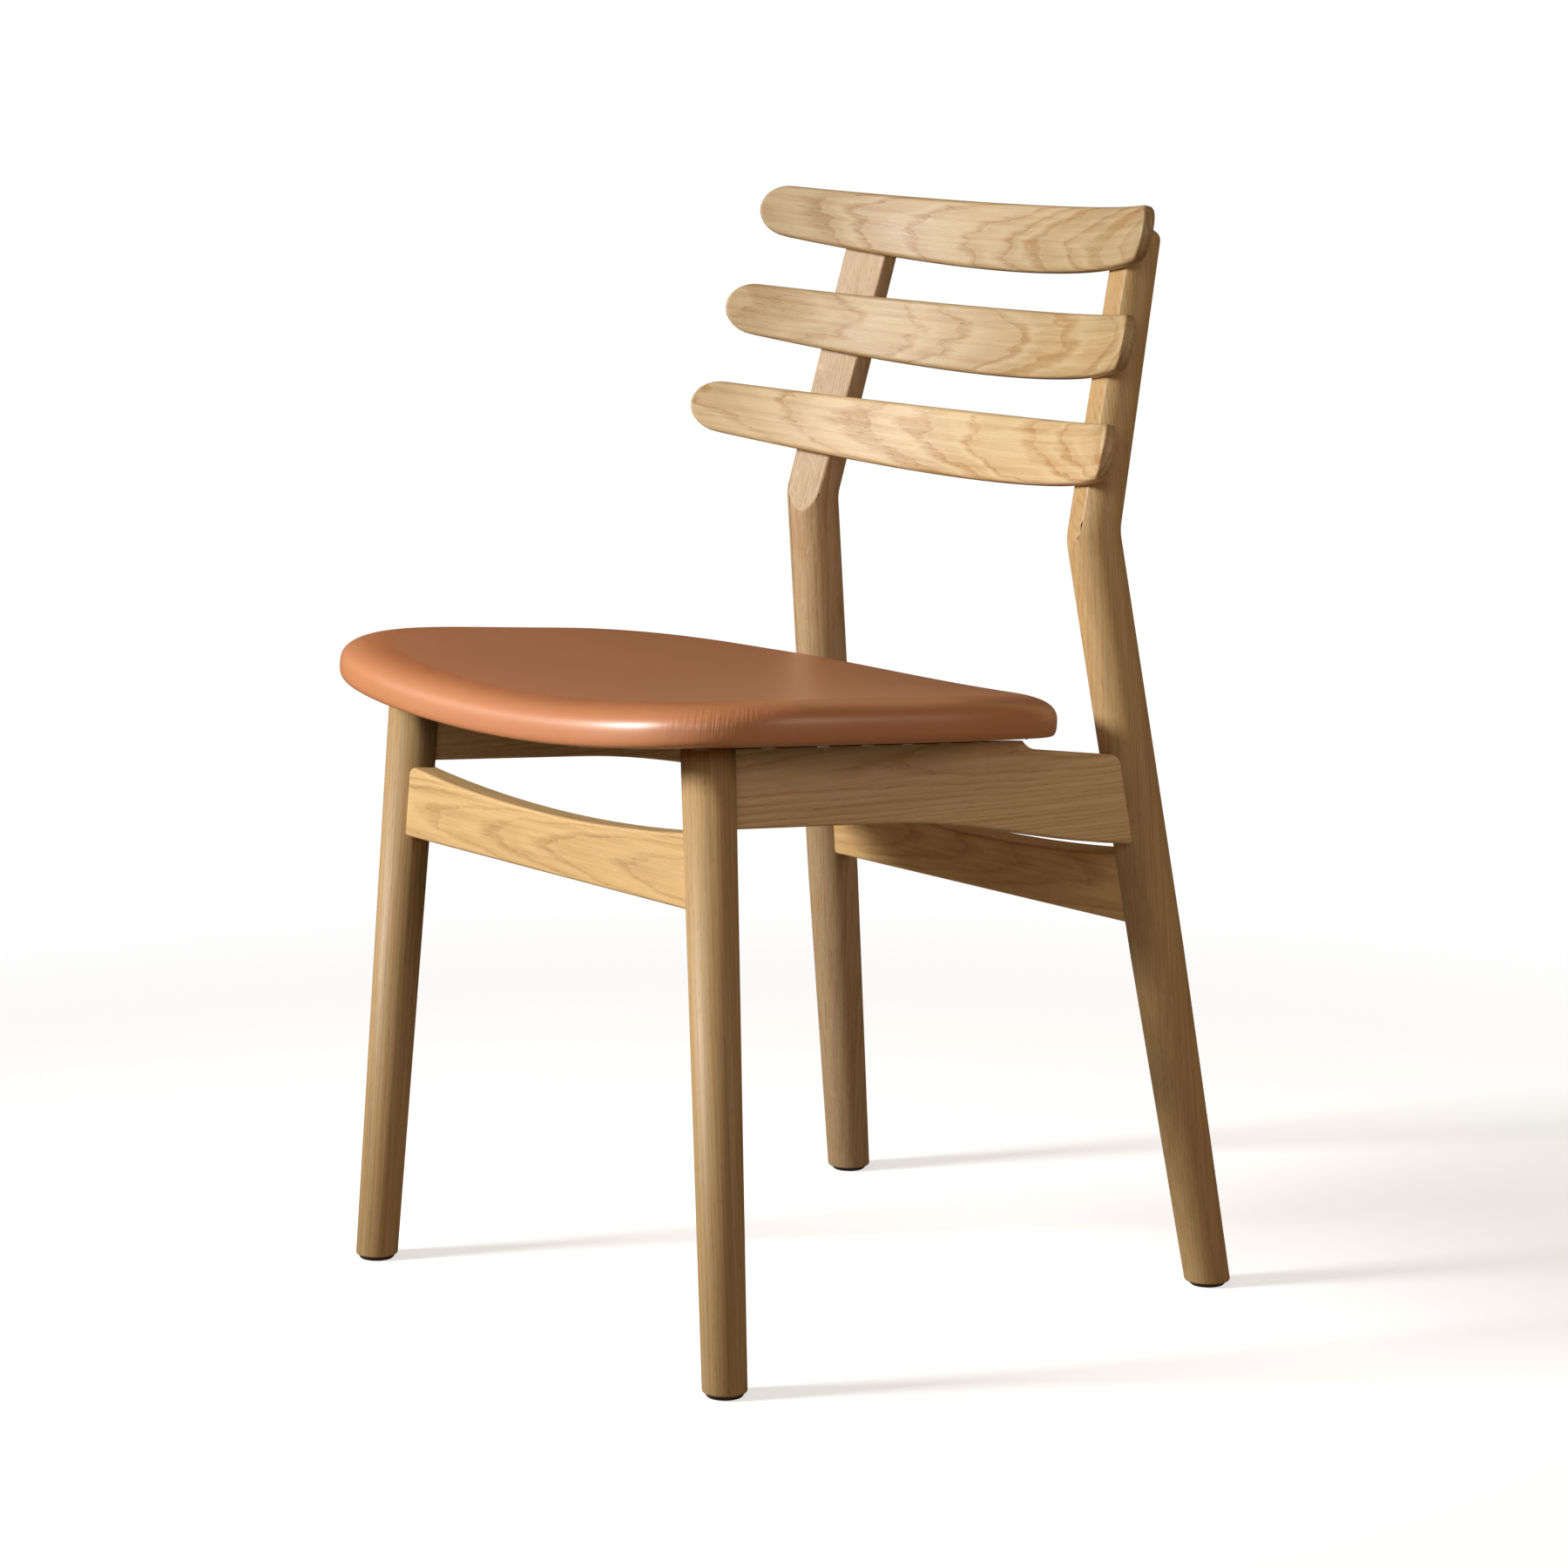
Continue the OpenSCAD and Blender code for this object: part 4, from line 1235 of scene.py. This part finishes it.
    def edge_place(self, turn: float, angle: float) -> Vector:
        """Place on the rolled edge, for the folds that gather there.

        Args:
            turn: Direction round the outline.
            angle: Place over the edge.

        Returns:
            Length along the edge, length over it, and how gathered the leather is there.
        """
        s = self.layout.sizes
        corner = min(abs(turn + math.radians(a)) for a in self.fold_turns)
        near = math.exp(-(corner / math.radians(self.fold_spread)) ** 2)
        low = ease((62 - angle) / 40) * ease((angle + 30) / 40)
        return Vector((turn * s.seat_width / 2, math.radians(angle) * s.edge_h * 2, near * low))

    def swell(self, bm: bmesh.types.BMesh, held: bmesh.types.BMLayerItem) -> None:
        """Lifts the leather a little where a cloth simulation blows it up.

        The simulation says where the leather rises; the cap and the evening passes set how
        far, because it moves the leather much further than foam does.

        Args:
            bm: The leather's mesh, which is moved.
            held: Layer that is 1 where the leather is fixed under the shell.
        """
        mesh = bpy.data.meshes.new("swelling")
        bm.to_mesh(mesh)
        trial = bpy.data.objects.new("swelling", mesh)
        bpy.context.scene.collection.objects.link(trial)
        pins = trial.vertex_groups.new(name="held")
        pins.add([k for k, v in enumerate(bm.verts) if v[held] > 0.5], 1.0, "REPLACE")
        cloth = trial.modifiers.new("cloth", "CLOTH")
        settings = cloth.settings
        settings.quality = 6
        settings.mass = 0.4
        settings.tension_stiffness = settings.compression_stiffness = 25
        settings.bending_stiffness = 4
        settings.use_pressure = True
        settings.uniform_pressure_force = self.pressure
        settings.vertex_group_mass = "held"
        settings.effector_weights.gravity = 0
        cloth.point_cache.frame_start = 1
        cloth.point_cache.frame_end = self.frames
        scene = bpy.context.scene
        for step in range(1, self.frames + 1):
            scene.frame_set(step)
        shaped = trial.evaluated_get(bpy.context.evaluated_depsgraph_get()).data
        bm.normal_update()
        bm.verts.index_update()
        moves = [(end.co - vert.co).dot(vert.normal)
                 for vert, end in zip(bm.verts, shaped.vertices)]
        lifts = [self.swell_cap * math.tanh(max(out, 0) / self.swell_cap) for out in moves]
        for _ in range(self.even_out):
            lifts = [0.0 if vert[held] > 0.5 else
                     sum(lifts[e.other_vert(vert).index] for e in vert.link_edges)
                     / len(vert.link_edges) for vert in bm.verts]
        for vert, lift in zip(bm.verts, lifts):
            vert.co += vert.normal * lift
        scene.frame_set(1)
        bpy.data.objects.remove(trial)
        bpy.data.meshes.remove(mesh)
        log.info("leather moves by %.1f to %.1f mm before its cap", min(moves) / MM,
                 max(moves) / MM)

    def build_lining(self, finish: PlainFinish) -> bpy.types.Object:
        """Builds the cloth under the seat, drawn tight between the staples.

        Args:
            finish: The cloth.

        Returns:
            The piece.
        """
        s = self.layout.sizes
        inset = s.under_roll + s.flap_w + MM
        height = s.lining_t / 2
        bm = bmesh.new()
        turn_of = self.disc(bm, inset, height)
        for vert in bm.verts:
            away = math.dist(vert.co[:2], self.outline(vert[turn_of], inset))
            share = 1 - min(away / self.pucker_reach, 1)
            vert.co.z += self.pucker * math.sin(vert[turn_of] * self.puckers) * share
        area = sum(f.calc_area() for f in bm.faces)
        Bench.place(bm, self.layout.seat_frame)
        bmesh.ops.reverse_faces(bm, faces=bm.faces)
        piece = Bench.piece(bm, "lining_cloth", ["seat_underlining"], Slot.UNDERLINING,
                            finish.material())
        thick = piece.modifiers.new("cloth", "SOLIDIFY")
        thick.thickness = s.lining_t / 2
        thick.offset = 0
        return piece


# ---- Hidden and small parts, which keep their CAD shape ----

SMALL_PARTS: dict[Slot, PlainFinish] = {
    Slot.FOAM: PlainFinish("seat_foam", rgb(.80, .74, .55), rgb(.70, .63, .44), .9,
                           grain=(700, 700, 700), depth=.0003),
    Slot.PLYWOOD: PlainFinish("birch_plywood", rgb(.66, .50, .33), rgb(.50, .34, .19), .6,
                              grain=(30, 30, 1500), depth=.0001),
    Slot.DOWEL: PlainFinish("beech_dowel", rgb(.62, .42, .26), rgb(.50, .31, .17), .6,
                            grain=(60, 1400, 1400), depth=.0001),
    Slot.ZINC: PlainFinish("zinc_steel", rgb(.62, .62, .60), rgb(.46, .46, .46), .38, 1.0),
    Slot.BLACK_STEEL: PlainFinish("black_steel", rgb(.035, .035, .037), rgb(.02, .02, .02),
                                  .42, .6),
    Slot.BRASS: PlainFinish("brass", rgb(.72, .50, .22), rgb(.60, .39, .15), .35, 1.0),
    Slot.GLIDE: PlainFinish("glide_plastic", rgb(.050, .042, .036), rgb(.030, .026, .023),
                            .55, depth=.00008),
}
LINING = PlainFinish("underlining_cloth", rgb(.030, .030, .032), rgb(.016, .016, .017), .85,
                     grain=(1700, 1700, 300), depth=.0002)


def dress_small_parts() -> None:
    """Gives every CAD node that stays its own finish."""
    made = {slot: finish.material() for slot, finish in SMALL_PARTS.items()}
    for part in frame["record"]["subparts"]:
        slot, name = Slot(part["material_slot"]), part["node"]
        if slot in made:
            for place in frame["nodes"][name].material_slots:
                place.material = made[slot]
            log.info("%s: CAD shape, finish %s", name, slot.value)


# ---- Studio ----

@dataclass(frozen=True)
class Softbox:
    """A square studio light aimed at a point."""

    name: str
    turn: float
    rise: float
    away: float
    size: float
    power: float
    aim: tuple[float, float, float] = (0, 0, 0.45)
    colour: tuple[float, float, float] = (1, 1, 1)
    spread: float = 180

    def build(self) -> None:
        """Hangs the light; its turn is 0 in front and 90 on the sitter's left."""
        data = bpy.data.lights.new(self.name, "AREA")
        data.shape = "SQUARE"
        data.size = self.size
        data.energy = self.power
        data.color = self.colour
        data.spread = math.radians(self.spread)
        lamp = bpy.data.objects.new(self.name, data)
        turn, rise = math.radians(self.turn), math.radians(self.rise)
        way = Vector((math.sin(turn) * math.cos(rise), -math.cos(turn) * math.cos(rise),
                      math.sin(rise)))
        lamp.location = Vector(self.aim) + way * self.away
        lamp.rotation_euler = way.to_track_quat("Z", "Y").to_euler()
        bpy.context.scene.collection.objects.link(lamp)


@dataclass
class Studio:
    """White backdrop, pale floor, soft lights and the camera."""

    camera_at: tuple[float, float, float] = (2.62456, -1.99115, 0.93447)
    camera_aim: tuple[float, float, float] = (0, 0.01475, 0.3665)
    lens: float = 105.85
    floor_size: float = 3.0
    floor_lift: float = 0.62
    ambient: tuple = rgb(0.140, 0.098, 0.060)
    lights: tuple[Softbox, ...] = (
        Softbox("key", -24, 21, 2.3, 0.55, 15, aim=(0, -0.1, 0.60), spread=78),
        Softbox("back_light", 30, 15, 2.0, 0.70, 0.55, aim=(0, 0.15, 0.72), spread=45),
        Softbox("side", 115, 18, 2.2, 1.0, 1.7, aim=(0.15, 0.1, 0.5),
                colour=(1, 0.86, 0.72), spread=75),
    )

    def build(self) -> None:
        """Sets up the floor, the backdrop, the lights and the camera."""
        self.build_floor()
        self.build_world()
        for light in self.lights:
            light.build()
        self.build_camera()

    def build_floor(self) -> None:
        """Lays a pale floor that runs into the backdrop."""
        bm = bmesh.new()
        bmesh.ops.create_circle(bm, cap_ends=True, segments=96, radius=self.floor_size)
        mesh = bpy.data.meshes.new("floor")
        bm.to_mesh(mesh)
        bm.free()
        floor = bpy.data.objects.new("floor", mesh)
        bpy.context.scene.collection.objects.link(floor)
        g = Graph("floor")
        g.surface.inputs["Roughness"].default_value = 0.9
        place = g.node("TexCoord", {}, out="Object")
        away = g.node("VectorMath", {0: place}, out="Value", operation="LENGTH")
        seen = g.node("LightPath", {}, out="Is Camera Ray")
        g.join(g.mix(seen, rgb(.32, .25, .18), rgb(.84, .84, .84)),
               g.surface.inputs["Base Color"])
        lift = g.node("Emission", {"Color": rgb(1, 1, 1),
                                   "Strength": g.math("MULTIPLY", seen, self.floor_lift)})
        lit = g.node("AddShader", {0: g.surface.outputs[0], 1: lift})
        clear = g.node("BsdfTransparent", {})
        share = g.ramp(away, 0.55, 1.5)
        g.join(g.node("MixShader", {0: share, 1: lit, 2: clear}), g.output.inputs["Surface"])
        mesh.materials.append(g.material)

    def build_world(self) -> None:
        """Makes a white backdrop with a dim room in its light."""
        world = bpy.data.worlds.new("studio")
        bpy.context.scene.world = world
        world.use_nodes = True
        tree = world.node_tree
        tree.nodes.clear()
        output = tree.nodes.new("ShaderNodeOutputWorld")
        room = tree.nodes.new("ShaderNodeBackground")
        room.inputs[0].default_value = self.ambient
        white = tree.nodes.new("ShaderNodeBackground")
        white.inputs[0].default_value = rgb(1, 1, 1)
        seen = tree.nodes.new("ShaderNodeLightPath")
        mixed = tree.nodes.new("ShaderNodeMixShader")
        tree.links.new(seen.outputs["Is Camera Ray"], mixed.inputs[0])
        tree.links.new(room.outputs[0], mixed.inputs[1])
        tree.links.new(white.outputs[0], mixed.inputs[2])
        tree.links.new(mixed.outputs[0], output.inputs[0])

    def build_camera(self) -> None:
        """Puts the camera in front and to the sitter's left."""
        scene = bpy.context.scene
        data = bpy.data.cameras.new("camera")
        data.lens = self.lens
        data.sensor_width = 36
        camera = bpy.data.objects.new("camera", data)
        camera.location = self.camera_at
        way = Vector(self.camera_at) - Vector(self.camera_aim)
        camera.rotation_euler = way.to_track_quat("Z", "Y").to_euler()
        scene.collection.objects.link(camera)
        scene.camera = camera
        scene.view_settings.view_transform = "Standard"


# ---- The chair ----

def build_chair() -> None:
    """Builds the frame, the back, the seat and the small parts, in that order."""
    layout = Layout(ChairSizes())
    # The brightness factors that the boards get below are painted light: lighter and darker
    # copies of the oak for how the light falls on each piece.
    legs = FrontLegs(layout)
    legs.build(Side.LEFT, OakBoard("front_leg_left", 1.3, (.050, .045), tone_and_painted_light=.84))
    legs.build(Side.RIGHT, OakBoard("front_leg_right", 5.1, (-.060, .035), tone_and_painted_light=.80))
    rear = RearLegs(layout)
    rear.build(Side.LEFT, OakBoard("rear_leg_left", 8.7, (.035, .060), flecks=.5, tone_and_painted_light=.84))
    rear.build(Side.RIGHT, OakBoard("rear_leg_right", 11.9, (.080, -.010), flecks=.9,
                                    light=PINK_OAK, tone_and_painted_light=.80))
    # The rails are lightened: painted light on their shaded faces.
    rails = SideRails(layout)
    rails.build(Side.LEFT, OakBoard("side_rail_left", 15.2, (.030, .055), (.010, .020),
                                    light=PINK_OAK, tone_and_painted_light=1.2))
    rails.build(Side.RIGHT, OakBoard("side_rail_right", 17.8, (.045, .040), (.012, .018),
                                     light=PINK_OAK, tone_and_painted_light=1.2))
    Stretcher(layout, True).build(
        OakBoard("front_stretcher", 21.4, (.020, .060), (.004, .030), tone_and_painted_light=1.12))
    # The rear stretcher is lightened most: painted light where the seat shades it.
    Stretcher(layout, False).build(
        OakBoard("rear_stretcher", 24.6, (.030, -.060), (.006, .035), tone_and_painted_light=1.4))
    # The slats darken from the bottom one to the top one: painted shade.
    slats = BackSlats(layout)
    pale = {"ring": .0046, "sway": .008, "figure": .95, "light": PALE_OAK}
    slats.build(0, OakBoard("bottom_slat", 27.1, (.012, .090), (.02, .075), tone_and_painted_light=.93,
                            **pale))
    slats.build(1, OakBoard("middle_slat", 30.3, (.004, .085), (.02, -.085), tone_and_painted_light=.80,
                            **pale))
    slats.build(2, OakBoard("top_slat", 33.7, (-.008, .080), (.02, .100), tone_and_painted_light=.75,
                            **pale))
    seat = SeatCover(layout)
    seat.build_leather(SaddleLeather())
    seat.build_lining(LINING)
    dress_small_parts()


def main() -> None:
    """Builds the chair and the studio round it."""
    logging.basicConfig(level=logging.INFO, format="%(message)s")
    build_chair()
    Studio().build()


if __name__ == "__main__":
    main()
